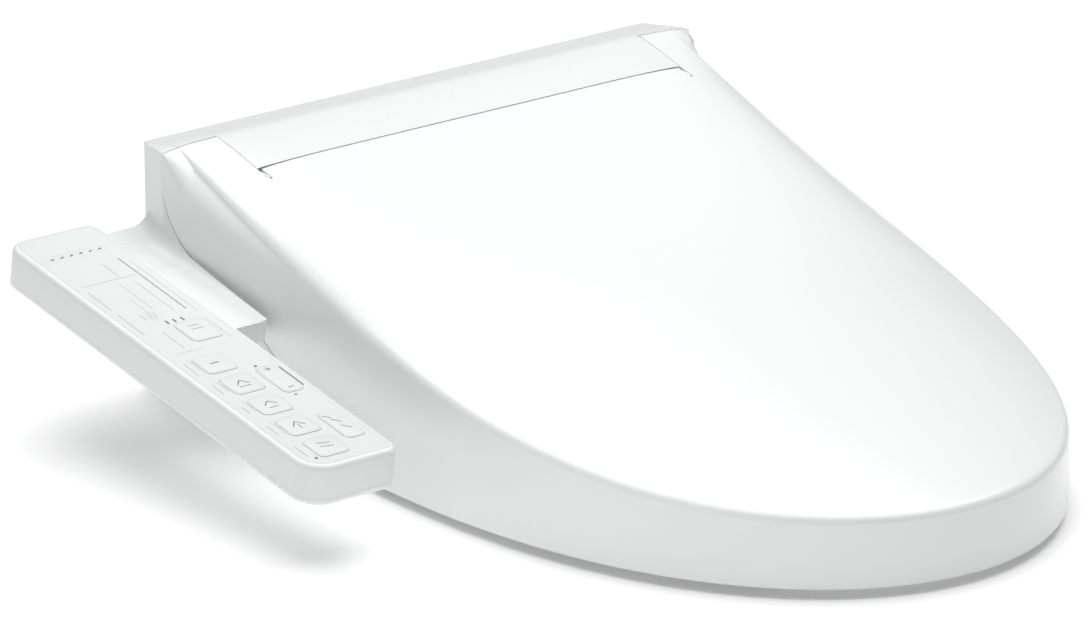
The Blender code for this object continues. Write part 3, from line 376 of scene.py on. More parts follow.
def ringed(name, rings, closed=False, sharp=SHARP):
    """Skin a list of rings of equal length, each new ring extruded from the one before."""
    bm = bmesh.new()
    count = len(rings[0])
    made = bmesh.ops.create_circle(bm, cap_ends=False, segments=count, radius=1.0)
    first = made["verts"]
    loop = first
    for vert, point in zip(first, rings[0]):
        vert.co = point
    for ring in rings[1:]:
        edges = [bm.edges.get((loop[i], loop[(i + 1) % count])) for i in range(count)]
        grown = bmesh.ops.extrude_edge_only(bm, edges=edges)["geom"]
        partner = {}
        fresh = set(v for v in grown if isinstance(v, bmesh.types.BMVert))
        for vert in loop:
            partner[vert] = next(e.other_vert(vert) for e in vert.link_edges if e.other_vert(vert) in fresh)
        loop = [partner[vert] for vert in loop]
        for vert, point in zip(loop, ring):
            vert.co = point
    ends = [[bm.edges.get((side[i], side[(i + 1) % count])) for i in range(count)]
            for side in (first, loop)]
    if closed:
        bmesh.ops.bridge_loops(bm, edges=ends[0] + ends[1])
    else:
        for side in (first, loop):
            spread = max((v.co - side[0].co).length for v in side)
            if spread > 1e-6:
                bm.faces.new(side)
    return to_object(bm, name, sharp)


print("helpers for Booleans and rings are ready")

# %% [markdown]
# ### Round outlines
# Corners of mouldings are arcs, because a sharp corner would stay unfilled in the mould. An outline
# with four arcs serves for the arm, its film, its keys and its windows.

# %% Arcs and rounded rectangles
def arc(centre, radius, start, end, steps):
    """Points on a circle between two angles in degrees."""
    angles = [math.radians(start + (end - start) * step / steps) for step in range(steps + 1)]
    return [(centre[0] + radius * math.cos(a), centre[1] + radius * math.sin(a)) for a in angles]


def rounded_rectangle(low, high, rounds, steps=8):
    """Outline with one radius for each corner, anticlockwise from the lowest one."""
    (x0, y0), (x1, y1) = low, high
    corners = [((x0, y0), (1, 1), 180), ((x1, y0), (-1, 1), 270),
               ((x1, y1), (-1, -1), 0), ((x0, y1), (1, -1), 90)]
    points = []
    for ((x, y), (sx, sy), start), radius in zip(corners, rounds):
        points += arc((x + sx * radius, y + sy * radius), radius, start, start + 90, steps)
    return points


print("a quarter turn in 8 steps has", len(arc((0, 0), 1, 0, 90, 8)), "points")

# %% [markdown]
# ### Standing for a imported node
# Each new piece takes the place of one solid of the imported model. It rides on that solid's body, so
# that it moves with the same joint, and it is given its finish. The body is read from the record,
# which leaves nothing to be typed twice.

# %% Stand for a node
RECORD = frame["record"]
SLOT_OF = {row["node"]: row["material_slot"] for row in RECORD["subparts"]}
BODY_OF = {name: body for body, names in RECORD["behaviour"]["bodies"].items() for name in names}
REPLACED = set()


def stand_for(piece, look, cad_node):
    """Give a piece its finish, and let it stand for a CAD node on that node's body."""
    piece.data.materials.clear()
    piece.data.materials.append(look)
    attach(piece, BODY_OF[cad_node])
    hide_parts(cad_node)
    REPLACED.add(cad_node)
    print(f"{piece.name}: {len(piece.data.polygons)} faces")
    return piece


print("material slots:", sorted(set(SLOT_OF.values())))

# %% [markdown]
# ## The form shared by lid and housing
# Lid and housing look like one body with a seam, so both are cut from one form. Its sizes are in
# millimetres here: Y runs from the nose (negative) to the rear, and Z up from the bowl's rim.

# %% Sizes of the form
REAR_Y, REAR_HALF, NOSE_Y, SKIRT_Z = 66 * MM, 185 * MM, -464.8 * MM, 6 * MM
STRIP_Y, STRIP_Z, REAR_Z = 33.7 * MM, 157 * MM, 152 * MM
TONGUE_Y, TONGUE_Z, TONGUE_HALF = -7.2 * MM, 149 * MM, 154.9 * MM
LID_HALF, EAR_HALF, FULL_WIDTH_Y = 184 * MM, 193 * MM, -150 * MM
LID_REAR_Y, NOSE_Z, CHEEK_Y = -8 * MM, 46.3 * MM, -110 * MM
HINGE_Y, HINGE_Z, EAR_RADIUS = -14 * MM, 141.5 * MM, 49.5 * MM
FRONT_WALL_Y, WALL, GAP = -50 * MM, 3 * MM, 0.4 * MM
NOSE_POWER, FLARE_DROP, CREASE = 2.4, 14 * MM, 3.5 * MM
UNDER, OVER, BEHIND, ASIDE = -20 * MM, 200 * MM, 90 * MM, 210 * MM      # cutters end out here
print("lid", round(2 * LID_HALF / MM), "mm wide, form", round((REAR_Y - NOSE_Y) / MM, 1), "mm long")

# %% [markdown]
# ### Plan
# Seen from above, the lid has almost straight sides that run into an oval nose: a curve between an
# ellipse and a rectangle. At the ears the flank stands out a little beyond the upper edge.

# %% Plan of the form
def blend(value, low, high):
    """0 below the lower value, 1 above the upper one, and a smooth rise between them."""
    t = min(max((value - low) / (high - low), 0), 1)
    return t * t * (3 - 2 * t)


def half_width(y):
    """Half-width of the upper edge of lid and housing."""
    if y > STRIP_Y:
        return LID_HALF - 2 * MM + 3 * MM * (y - STRIP_Y) / (REAR_Y - STRIP_Y)
    if y > FULL_WIDTH_Y:
        return LID_HALF - 2 * MM * ((y - FULL_WIDTH_Y) / (STRIP_Y - FULL_WIDTH_Y)) ** 2
    reach = min((FULL_WIDTH_Y - y) / (FULL_WIDTH_Y - NOSE_Y), 1)
    return LID_HALF * (1 - reach ** NOSE_POWER) ** (1 / 2)


def flare(y):
    """How far the flank stands out beyond the upper edge, at the ears."""
    if y < FULL_WIDTH_Y:
        return 0.0
    share = (y - FULL_WIDTH_Y) / (STRIP_Y - FULL_WIDTH_Y)
    return (EAR_HALF - half_width(STRIP_Y)) * share ** 1.5


def outer_half(y):
    """Half-width of the flank, below the upper edge."""
    return half_width(y) + flare(y)


def corner_share(y):
    """0 where the ear meets the housing with a square corner, 1 where its crease is fully formed."""
    return blend(STRIP_Y - y, 0.0, 20 * MM)


print("half-width 400 mm in front of the origin:", round(half_width(-0.4) / MM, 1), "mm")

# %% [markdown]
# ### Height
# The upper edge falls steadily from the ears and levels out at the front, while the middle stays
# higher. So the top is flat across at the back and crowned at the front. A power of the distance
# from the middle gives both: a high power is flat with a late fall, a low one is a round crown.

# %% Height of the form
def edge_height(y):
    """Height of the upper edge: a steady fall from the ears that levels out to the nose."""
    if y > STRIP_Y:
        return middle_height(y) - 1 * MM
    reach = (STRIP_Y - y) / (STRIP_Y - NOSE_Y)
    return NOSE_Z + (156 * MM - NOSE_Z) * max(1 - reach, 0) ** 1.85


def middle_height(y):
    """Height along the middle: the tongue's slope at the back, a long fall to the nose."""
    if y > STRIP_Y:
        return STRIP_Z - (STRIP_Z - REAR_Z) * (y - STRIP_Y) / (REAR_Y - STRIP_Y)
    if y > LID_REAR_Y:
        share = min((y - LID_REAR_Y) / (STRIP_Y - LID_REAR_Y), 1)
        return TONGUE_Z + (STRIP_Z - TONGUE_Z) * (1.25 * share - 0.25 * share ** 3)
    reach = (LID_REAR_Y - y) / (LID_REAR_Y - NOSE_Y)
    return TONGUE_Z + (NOSE_Z - TONGUE_Z) * reach + 12 * MM * reach * (1 - reach)


def top_height(x, y):
    """Height of the top; its cross-section goes from flat at the back to round at the front."""
    power = 10 - 7.4 * blend(-y, 0.0, 250 * MM)
    half = max(half_width(y), 1e-6)
    rise = middle_height(y) - edge_height(y)
    return edge_height(y) + rise * (1 - min(abs(x) / half, 1) ** power)


def ear_curve(clearance, steps=24):
    """Side view of the lid's lower rear edge: round about the hinge, then down to the skirt."""
    radius = EAR_RADIUS + clearance
    top = math.degrees(math.asin((158 * MM - HINGE_Z) / radius))
    points = arc((HINGE_Y, HINGE_Z), radius, top, -68, steps)
    start = Vector(points[-1])
    end = Vector((CHEEK_Y + clearance * 1.4, SKIRT_Z - 1 * MM))
    bend_a = start + Vector((-34, -14)) * MM
    bend_b = end + Vector((16, 45)) * MM
    for step in range(1, steps + 1):
        t = step / steps
        place = start * (1 - t) ** 3 + bend_a * 3 * t * (1 - t) ** 2
        place += bend_b * 3 * t * t * (1 - t) + end * t ** 3
        points.append((place.x, place.y))
    return points


print("height of the nose:", round(top_height(0, NOSE_Y) / MM, 1), "mm")

# %% [markdown]
# ## The lid
# The lid is one deep moulding with a wall of 3 mm. Its outline is a ring of points; further rings
# carry it up the flank and, after a small round at the crease, over the top to a spine along the
# middle. A subdivided cube would need its points pushed by hand to follow such a form, while rings
# follow the functions above exactly.

# %% Outline of the lid
def lid_outline(rear, sides=40, nose_steps=44):
    """Plan of the upper edge from the rear right corner round the nose, and back along the rear."""
    right = []
    for step in range(sides):
        y = rear + (FULL_WIDTH_Y - rear) * step / sides
        right.append((half_width(y), y))
    for step in range(nose_steps + 1):
        a = math.radians(90) * step / nose_steps
        y = FULL_WIDTH_Y + (NOSE_Y - FULL_WIDTH_Y) * math.sin(a) ** (2 / NOSE_POWER)
        right.append((LID_HALF * math.cos(a) if step < nose_steps else 0.0, y))
    left = [(-x, y) for x, y in reversed(right[:-1])]
    rear_line = [(-right[0][0] + 2 * right[0][0] * step / 24, rear) for step in range(1, 24)]
    return right + left + rear_line


def inset_point(outline, index, distance):
    """A point of the outline moved in by a distance, along the outline's normal."""
    before, after = Vector(outline[index - 1]), Vector(outline[(index + 1) % len(outline)])
    along = (after - before).normalized()
    return outline[index][0] + along.y * distance, outline[index][1] - along.x * distance


def inward(outline, distance):
    """The whole outline moved in by a distance."""
    return [inset_point(outline, index, distance) for index in range(len(outline))]


print("the lid's outline has", len(lid_outline(STRIP_Y)), "points")

# %% [markdown]
# ### Rings of the lid
# Each ring lifts the outline a little further: eleven rings up the flank, close together near the
# crease where it bends, six round the crease, and twenty that shrink towards the spine. The same
# stack, inset by the wall, later cuts the hollow, so that the wall is even.

# %% Rings of the lid
SPINE_FRONT_Y, SPINE_MARGIN = -330 * MM, 30 * MM
FLANK_SHARES = (1.0, 0.8, 0.6, 0.4, 0.25, 0.15, 0.10, 0.07, 0.045, 0.025, 0.01)


def lid_rings(rear, inset, low, crease):
    """Rings of a lid-shaped solid, inset from the outer surface: flank, crease, then top."""
    outline = lid_outline(rear + inset)
    base = inward(outline, inset) if inset else outline
    tops = [top_height(x, y) - inset for x, y in outline]
    creases = [crease * (0.1 + 0.9 * corner_share(y)) for x, y in outline]
    rings = []
    for drop_share in FLANK_SHARES:
        ring = []
        for (x, y), (bx, by), high, soft in zip(outline, base, tops, creases):
            z = low + (high - soft - low) * (1 - drop_share)
            depth = min((high - soft - z) / (FLARE_DROP * corner_share(y) + 0.01 * MM), 1)
            side = (abs(bx) / max(half_width(y), 1e-6)) ** 4
            out = flare(y) * (1 - (1 - depth) ** 2) * side
            ring.append((bx + math.copysign(out, bx), by, z))
        rings.append(ring)
    for step in range(6):
        a = math.radians(90) * step / 5
        ring = []
        for index, soft in enumerate(creases):
            x, y = inset_point(outline, index, inset + soft * (1 - math.cos(a)))
            ring.append((x, y, top_height(x, y) - inset - soft * (1 - math.sin(a))))
        rings.append(ring)
    edge = rings[-1]
    for step in range(1, 21):
        share = (step / 20) ** 1.3
        ring = []
        for x, y, _ in edge:
            spine_y = min(max(y, SPINE_FRONT_Y), rear - SPINE_MARGIN)
            px, py = x * (1 - share), y + (spine_y - y) * share
            ring.append((px, py, top_height(px, py) - inset))
        rings.append(ring)
    return rings


print("a stack has", len(FLANK_SHARES) + 6 + 20, "rings")

# %% [markdown]
# ### Cutting the lid
# The lid starts as a solid, longer than it needs to be. First the notch for the housing's tongue is
# cut, then the curve behind the ears, a slot in each ear for the steel hinge arm, the room under the
# skin for the hinge and the pin holes. The hollow, a second and smaller stack, comes last, so that
# every cutter before it meets a plain solid.

# %% Cut the lid
LUG_IN, SKIN_IN, SLOT_IN, EAR_IN, ROOM_HALF = 152.9 * MM, 155.4 * MM, 154 * MM, 158.7 * MM, 154.4 * MM
LID_ANGLE, PIN_HOLE, PIN_HOLE_START, PIN_HOLE_END = 50, 2 * MM, 150 * MM, 161.1 * MM


def in_metres(*points):
    """Points given in millimetres, turned to metres."""
    return [tuple(value * MM for value in point) for point in points]


def both_sides(inner, outer):
    """Lowest and highest x of a piece on the left, and of its twin on the right."""
    return (-outer, -inner), (inner, outer)


def lid_shell():
    """The lid: one solid stack, cut to shape and hollowed."""
    shell = ringed("lid", lid_rings(58 * MM, 0.0, SKIRT_Z, CREASE), sharp=LID_ANGLE)
    slot_y = -19 * MM
    right = [(LUG_IN, LID_REAR_Y), (LUG_IN, slot_y), (SKIN_IN, slot_y), (SKIN_IN, BEHIND)]
    notch = [(-x, y) for x, y in right] + list(reversed(right))
    carve(shell, prism("notch", notch, UNDER, OVER))
    behind = ear_curve(0) + [(CHEEK_Y, UNDER), (BEHIND, UNDER), (BEHIND, OVER), (STRIP_Y + 0.2 * MM, OVER)]
    carve(shell, prism("behind_ears", behind, -ASIDE, ASIDE, "X"))
    slot = in_metres((90, -21.5), (90, 146), (-6, 146), (-11, 145), (-16, 144), (-19, 142),
                     (-35.5, 137.8), (-35.5, -21.5))
    for low, high in both_sides(SLOT_IN, EAR_IN):
        carve(shell, prism("arm_slot", slot, low, high, "X"))
    under = in_metres((-36, -21), (-4, -21), (-4, 145.2), (-12, 145.2), (-36, 138.5))
    carve(shell, prism("hinge_room", under, -ROOM_HALF, ROOM_HALF, "X"))
    for side in (-1, 1):
        carve(shell, round_bar("pin_hole", (side * PIN_HOLE_START, HINGE_Y, HINGE_Z),
                               (side * PIN_HOLE_END, HINGE_Y, HINGE_Z), PIN_HOLE))
    return carve(shell, ringed("hollow", lid_rings(-33 * MM, WALL, UNDER, 2 * MM)), sharp=LID_ANGLE)


stand_for(lid_shell(), LID_WHITE, "lid_shell")

# %% [markdown]
# ## The housing
# The rear cover is one moulding that holds the water and air parts. Where the lid closes, its
# surface runs on from the lid's, so it is cut from the same outer form: a tongue between the ears,
# a shoulder behind each ear and a cheek below it. The step from the shoulder to the flank hides the
# gap in which the ear turns about the hinge.

# %% Outer form of the rear cover
CORNER, CHEEK_IN, SWEEP = 3.5 * MM, 180.5 * MM, 0.8 * MM


def housing_plan(inset, cheek_in=None):
    """Plan of the housing; with cheeks it reaches forward under the lid at both sides."""
    front = FRONT_WALL_Y + inset
    low_y = CHEEK_Y if cheek_in else front
    stations = [low_y + (STRIP_Y - low_y) * step / 24 for step in range(25)]
    right = [(outer_half(y) - inset, y) for y in stations]
    right += arc((REAR_HALF - CORNER, REAR_Y - CORNER), CORNER - inset, 8, 90, 10)
    if cheek_in:
        right = [(cheek_in, front), (cheek_in, CHEEK_Y)] + right
    return right + [(-x, y) for x, y in reversed(right)]


def rear_edge(height):
    """Rounded upper rear edge of the side profile."""
    return [(REAR_Y, height - 3 * MM)] + arc((REAR_Y - 3 * MM, height - 3 * MM), 3 * MM, 0, 90, 6)[1:]


def outer_cover():
    """The solid housing: tongue and shoulders, joined and trimmed to the common form."""
    above = STRIP_Z + 5 * MM
    tongue = [(REAR_Y, SKIRT_Z)] + rear_edge(REAR_Z) + [(STRIP_Y, above), (TONGUE_Y, above)]
    tongue += arc((HINGE_Y, HINGE_Z), 10 * MM, 45, -75, 16)
    tongue += [(-48 * MM, 112 * MM), (FRONT_WALL_Y, 106 * MM), (FRONT_WALL_Y, SKIRT_Z)]
    cover = prism("rear_cover_shape", tongue, -TONGUE_HALF, TONGUE_HALF, "X")
    ear = ear_curve(SWEEP)
    side = [(REAR_Y, SKIRT_Z)] + rear_edge(REAR_Z) + [(STRIP_Y + 0.9 * MM, above)]
    side += [(STRIP_Y + 0.9 * MM, STRIP_Z - 2 * MM)] + ear[3:-1] + [(CHEEK_Y + 1.2 * MM, SKIRT_Z)]
    shoulders = prism("shoulders", side, -ASIDE, ASIDE, "X")
    carve(shoulders, prism("plan", housing_plan(0, CHEEK_IN), 0, 180 * MM), "INTERSECT")
    carve(cover, shoulders, "UNION")
    form = ringed("common_form", lid_rings(REAR_Y + 4 * MM, 0.0, SKIRT_Z, CREASE))
    return carve(cover, form, "INTERSECT")


shape = outer_cover()
print("solid rear cover:", len(shape.data.polygons), "faces")

# %% [markdown]
# ### Bridge to the arm
# The arm hangs on a shelf that grows out of the flank. The inner corner is filled with a radius of
# 12 mm, which carries the weight of a resting hand into the cover. The flank is curved, so the shelf
# is a stack of sections along the arm, each of which reaches just into the flank beside it.

# %% Bridge to the arm
ARM_X, ARM_Y, ARM_Z = -287 * MM, 58.5 * MM, 112.95 * MM
ARM_WIDTH, ARM_LENGTH, ARM_THICK = 62 * MM, 300.6 * MM, 25 * MM
ARM_SLOPE = math.radians(9.75)
ON_ARM = Matrix.Translation((ARM_X, ARM_Y, ARM_Z)) @ Matrix.Rotation(ARM_SLOPE, 4, "X")
SHELF_DROP, SHELF_ROUND, BRIDGE_START, BRIDGE_LENGTH = 10 * MM, 12 * MM, -0.5 * MM, 130 * MM


def flank_at(y):
    """Half-width of the housing's flank."""
    if y < STRIP_Y:
        return outer_half(y)
    return EAR_HALF - (EAR_HALF - REAR_HALF) * (y - STRIP_Y) / (REAR_Y - CORNER - STRIP_Y)


def bridge():
    """The shelf between flank and arm, cut back where the lid's ear sweeps past."""
    low = 2 * MM - ARM_THICK
    sections = []
    for step in range(41):
        back = BRIDGE_START - (BRIDGE_LENGTH + BRIDGE_START) * step / 40
        wall = -flank_at(ARM_Y + back * math.cos(ARM_SLOPE)) - ARM_X
        fillet = arc((wall - SHELF_ROUND, SHELF_ROUND - SHELF_DROP), SHELF_ROUND, -90, -3, 14)
        outline = [(ARM_WIDTH + 0.05 * MM, low), (ARM_WIDTH + 0.05 * MM, -SHELF_DROP)] + fillet
        outline += [(wall + 7 * MM, fillet[-1][1]), (wall + 7 * MM, low)]
        sections.append([ON_ARM @ Vector((u, back, v)) for u, v in outline])
    shelf = ringed("bridge", sections)
    ear = ear_curve(SWEEP) + [(CHEEK_Y, OVER), (STRIP_Y + 0.9 * MM, OVER)]
    return carve(shelf, prism("ear_sweep", ear, -EAR_HALF - SWEEP, -170 * MM, "X"))


carve(shape, bridge(), "UNION")
print("with the bridge:", len(shape.data.polygons), "faces")

# %% [markdown]
# ### Rooms and openings
# Inside, the cover is two rooms that follow its skin at a distance of 3 mm: one under the tongue, and
# a wider one under the shoulders. A lug on each side carries the hinge pin. The openings are for the
# wand, the warm air, the mounting plate, the cartridge, the release button, the arm's cable and the
# power cord's gland.

# %% Rooms and openings of the rear cover
OPENINGS = {
    "nozzle_doorway": ((-20, -60, -10), (20, -40, 40)),
    "air_outlet": ((30, -60, 13.6), (58, -40, 27)),
    "plate_way": ((-129, 50, -10), (129, 80, 8.4)),
    "cartridge_bay": ((170, -40.4, 13.6), (210, 0.4, 50.4)),
    "button_hole": ((170, 9.6, 13.6), (210, 24.4, 26.4)),
    "arm_cable_way": ((-215, -30, 70), (-180, 20, 82)),
}
LUG_START, LUG_RADIUS, GLAND_RADIUS = 153.3 * MM, 4.2 * MM, 8.4 * MM


def open_cover(cover):
    """Hollow the housing, add its lugs and cut its openings."""
    back, front = REAR_Y - WALL, FRONT_WALL_Y + WALL
    room = [(back, UNDER), (back, REAR_Z - WALL), (STRIP_Y, STRIP_Z - WALL)]
    room += [(TONGUE_Y + 5 * MM, TONGUE_Z - WALL)] + in_metres((-1.5, 132), (-46, 108.5))
    room += [(front, 104 * MM), (front, UNDER)]
    half = TONGUE_HALF - WALL - 2 * MM
    carve(cover, prism("tongue_room", room, -half, half, "X"))
    curve = [(y, z - 1 * MM) for y, z in ear_curve(WALL + SWEEP)[3:] if y > front]
    side_room = [(back, UNDER), (back, REAR_Z - WALL - 2 * MM)]
    side_room += [(STRIP_Y + 7 * MM, STRIP_Z - WALL - 3 * MM)] + curve
    side_room += [(front, curve[-1][1] - 8 * MM), (front, UNDER)]
    sides = prism("side_room", side_room, -ASIDE, ASIDE, "X")
    carve(sides, prism("plan_room", housing_plan(WALL), -30 * MM, 180 * MM), "INTERSECT")
    carve(sides, ringed("form_room", lid_rings(REAR_Y, WALL, -28 * MM, 1 * MM)), "INTERSECT")
    carve(cover, sides)
    lug = arc((HINGE_Y, HINGE_Z), LUG_RADIUS, 90, 270, 16)
    lug += [(4 * MM, HINGE_Z - LUG_RADIUS), (4 * MM, HINGE_Z + LUG_RADIUS)]
    for side, (low, high) in zip((-1, 1), both_sides(LUG_START, TONGUE_HALF)):
        carve(cover, prism("lug", lug, low, high, "X"), "UNION")
        carve(cover, round_bar("bore", (side * 140 * MM, HINGE_Y, HINGE_Z),
                               (side * 160 * MM, HINGE_Y, HINGE_Z), PIN_HOLE))
    for name, corners in OPENINGS.items():
        carve(cover, block(name, *in_metres(*corners)))
    gland = in_metres((-140, 50, 30), (-140, 80, 30))
    return carve(cover, round_bar("gland_hole", *gland, GLAND_RADIUS))


rear_cover = stand_for(open_cover(shape), CASE_WHITE, "rear_cover")
rear_cover.name = "rear_cover_moulding"

# %% [markdown]
# ## The control arm
# The arm is a box of two moulded cases. The upper case has a soft 3.5 mm edge all round and a
# shallow bed for the printed film; the keys come up through windows in both.

# %% Upper case, film and window
FRONT_ROUND, INNER_ROUND, REAR_ROUND, SPLIT = 17 * MM, 9 * MM, 13 * MM, 20.5 * MM
ARM_WALL, FILM_INSET, FILM_THICK = 2.5 * MM, 4 * MM, 0.5 * MM
KEY_ROUND, KEY_PLAY, KEY_RISE, KEY_DEPTH = 4 * MM, 0.12 * MM, 0.5 * MM, 5.4 * MM
WINDOW_SINK, THROUGH = 0.02 * MM, 10 * MM
SHIFT = 5.6     # mm from the arm's rear edge to where the panel's places are measured from
# Each key: its middle across and along the panel, its width and its length, in mm.
KEYS = [("key_stop", 25, 168, 21, 21), ("key_rear_wash", 25, 194.5, 21, 21),
        ("key_soft_wash", 25, 221, 21, 21), ("key_front_wash", 25, 247.5, 21, 21),
        ("key_dryer", 25, 274, 21, 21), ("key_energy", 40, 131, 21, 24),
        ("key_pressure", 47.5, 199, 14, 32), ("key_position", 47.5, 257, 14, 32)]


def arm_outline(inset, steps=10):
    """Plan of the arm, on its own flat axes, moved in by a distance."""
    rounds = [r - inset for r in (FRONT_ROUND, INNER_ROUND, INNER_ROUND, REAR_ROUND)]
    return rounded_rectangle((inset, inset - ARM_LENGTH), (ARM_WIDTH - inset, -inset), rounds, steps)


def key_outline(key, grow=0.0, steps=6):
    """Plan of a key, or of its hole when it is grown by the play."""
    _, a, b, width, length = key
    low = ((a - width / 2) * MM - grow, -(b + SHIFT + length / 2) * MM - grow)
    high = ((a + width / 2) * MM + grow, -(b + SHIFT - length / 2) * MM + grow)
    return rounded_rectangle(low, high, (KEY_ROUND + grow,) * 4, steps)


def window_outline(grow):
    """Plan of the indicator window, or of its hole."""
    low, high = (8 * MM - grow, -33.1 * MM - grow), (50 * MM + grow, -27.1 * MM + grow)
    return rounded_rectangle(low, high, (2 * MM + grow,) * 4, 5)


upper = prism("arm_upper_moulding", arm_outline(0), -SPLIT, 0, bevel_top=3.5 * MM, segments=8,
              place=ON_ARM)
carve(upper, prism("room", arm_outline(ARM_WALL), -SPLIT - THROUGH, -ARM_WALL, place=ON_ARM))
carve(upper, prism("bed", arm_outline(FILM_INSET), -FILM_THICK - GAP, THROUGH, place=ON_ARM))
film = prism("panel_film_sheet", arm_outline(FILM_INSET + 0.15 * MM), -FILM_THICK, 0, place=ON_ARM)
for piece in (upper, film):
    for key in KEYS:
        carve(piece, prism("key_hole", key_outline(key, KEY_PLAY), -THROUGH, THROUGH, place=ON_ARM))
    carve(piece, prism("window_hole", window_outline(0.1 * MM), -THROUGH, THROUGH, place=ON_ARM))
stand_for(upper, CASE_WHITE, "arm_upper_case")
stand_for(film, FILM, "panel_overlay")
window = prism("indicator_lens", window_outline(0), 0.4 * MM - KEY_DEPTH, -WINDOW_SINK, place=ON_ARM)
stand_for(window, FILM, "indicator_window")

# %% [markdown]
# ### Lower case of the arm
# The lower case is a shallow tray that closes the arm from below; a hairline shows between the two.
# Three ribs across it carry the keypad's board and the screws.

# %% Lower case
lower = prism("arm_lower_moulding", arm_outline(0), -ARM_THICK, -SPLIT - 0.1 * MM, bevel_low=3 * MM,
              segments=6, place=ON_ARM)
carve(lower, prism("room", arm_outline(ARM_WALL + 0.5 * MM), -ARM_THICK + 1.8 * MM, 0, place=ON_ARM))
for share in (0.17, 0.50, 0.81):
    along = share * ARM_LENGTH
    rib = block("rib", (8 * MM, -along - 2 * MM, -ARM_THICK + 0.8 * MM),
                (ARM_WIDTH - 8 * MM, -along + 2 * MM, -7.4 * MM), place=ON_ARM)
    carve(lower, rib, "UNION")
stand_for(lower, CASE_WHITE, "arm_lower_case")

# %% [markdown]
# ## Keys
# Each key is a rounded cap on the film's level, standing half a millimetre proud, with a soft rim
# so that a fingertip finds it.

# %% Key caps
for key in KEYS:
    cap = prism(key[0] + "_cap", key_outline(key), 0.9 * MM - KEY_DEPTH, KEY_RISE, bevel_top=0.45 * MM,
                segments=4, place=ON_ARM)
    stand_for(cap, FILM, key[0])

# %% [markdown]
# ## Printing
# The marks are screen printed: thin bars, frames and dots of ink, 0.03 mm thick. They're generic
# lines without any words, laid out in the columns of a keypad. A mark is a small flat outline that
# is extruded; all marks of one ink are one mesh. Real ink under a raking light has an edge, which a
# colour painted on the film would lack.

# %% A printed mark
INK_THICK = 0.03 * MM


def printed(name, ink, cad_node, level, bars=(), frames=(), dots=()):
    """Bars are (a, b, a, b) corners, frames are (a, b, width, length, line), dots (a, b, radius)."""
    bm = bmesh.new()

    def sheet(outline):
        face = bm.faces.new([bm.verts.new((x, y, level)) for x, y in outline])
        bmesh.ops.recalc_face_normals(bm, faces=[face])
        grown = bmesh.ops.extrude_face_region(bm, geom=[face])
        verts = [v for v in grown["geom"] if isinstance(v, bmesh.types.BMVert)]
        bmesh.ops.translate(bm, verts=verts, vec=(0, 0, INK_THICK))

    for a0, b0, a1, b1, width in bars:
        start, end = Vector((a0, -b0 - SHIFT)) * MM, Vector((a1, -b1 - SHIFT)) * MM
        across = (end - start).normalized().orthogonal() * width * MM / 2
        sheet([start - across, end - across, end + across, start + across])
    for a, b, radius in dots:
        sheet(arc((a * MM, -(b + SHIFT) * MM), radius * MM, 0, 345, 23))
    for a, b, width, length, line in frames:
        key = ("", a, b, width, length)
        outer = key_outline(key)
        inner = key_outline(key, -line * MM)
        loops = []
        for outline in (outer, inner):
            verts = [bm.verts.new((x, y, level + INK_THICK)) for x, y in outline]
            loops += [bm.edges.new((verts[i - 1], verts[i])) for i in range(len(verts))]
        bmesh.ops.bridge_loops(bm, edges=loops)
    bm.transform(ON_ARM)
    bmesh.ops.recalc_face_normals(bm, faces=bm.faces)
    piece = to_object(bm, name)
    return stand_for(piece, ink, cad_node)


print("ink is", INK_THICK / MM, "mm thick")

# %% [markdown]
# ### The panel's layout
# All places are in millimetres on the panel: first across it from the arm's outer edge, then along
# it from the rear. Grey lines group the keys, dark bars mark levels, and six short dashes under the
# window are the indicator lights.

# %% Print the film
OUTER_DASHES = ((66.5, 90), (96, 123), (161, 176), (188, 200), (217, 225), (241, 252), (267, 279))
dashes = [(8.7, start, 8.7, end, 0.5) for start, end in OUTER_DASHES]
dashes += [(20, 124, 20, 146, 0.45), (53, 190, 53, 210, 0.45), (8, 60, 46, 60, 0.4),
           (54.5, 249, 54.5, 267, 0.45), (53, 44, 53, 112, 0.35), (36, 40, 36, 58, 0.4),
           (41, 66, 41, 106, 0.4), (31, 66, 31, 98, 0.35), (26, 84, 26, 112, 0.3),
           (30, 121, 52, 121, 0.35), (52, 121, 52, 146, 0.35), (12, 150, 30, 150, 0.3)]
dashes += [(20 + 4 * step, 102, 20 + 4 * step, 109, 0.4) for step in range(3)]
dashes += [(13, 158 + 26.5 * step, 13, 172 + 26.5 * step, 0.3) for step in range(4)]
printed("panel_print_grey", INK["mid"], "panel_overlay", 0.0, bars=dashes)
strong = [(48.5, 39, 48.5, 107, 0.6), (55.5, 187, 55.5, 211, 0.9)]
strong += [(a, 114, a, 118, 1.1) for a in (29, 34, 39.5)]
printed("panel_print_dark", INK["dark"], "panel_overlay", 0.0, bars=strong,
        dots=[(43.8, 181, 1.0), (45, 218, 0.8), (12.0, 283, 1.0)])
lights = [(12 + 6.5 * step, 25, 14.6 + 6.5 * step, 24, 1.0) for step in range(6)]
printed("indicator_print", INK["dark"], "indicator_window", -WINDOW_SINK, bars=lights)

# %% [markdown]
# ### Symbols of the keys
# Each key has a pale frame just inside its rim and a plain symbol: a bar for stop, arrows for the
# washes, waves for the dryer, plus and minus for the pressure. They ride on the key, so that they go
# down with it.

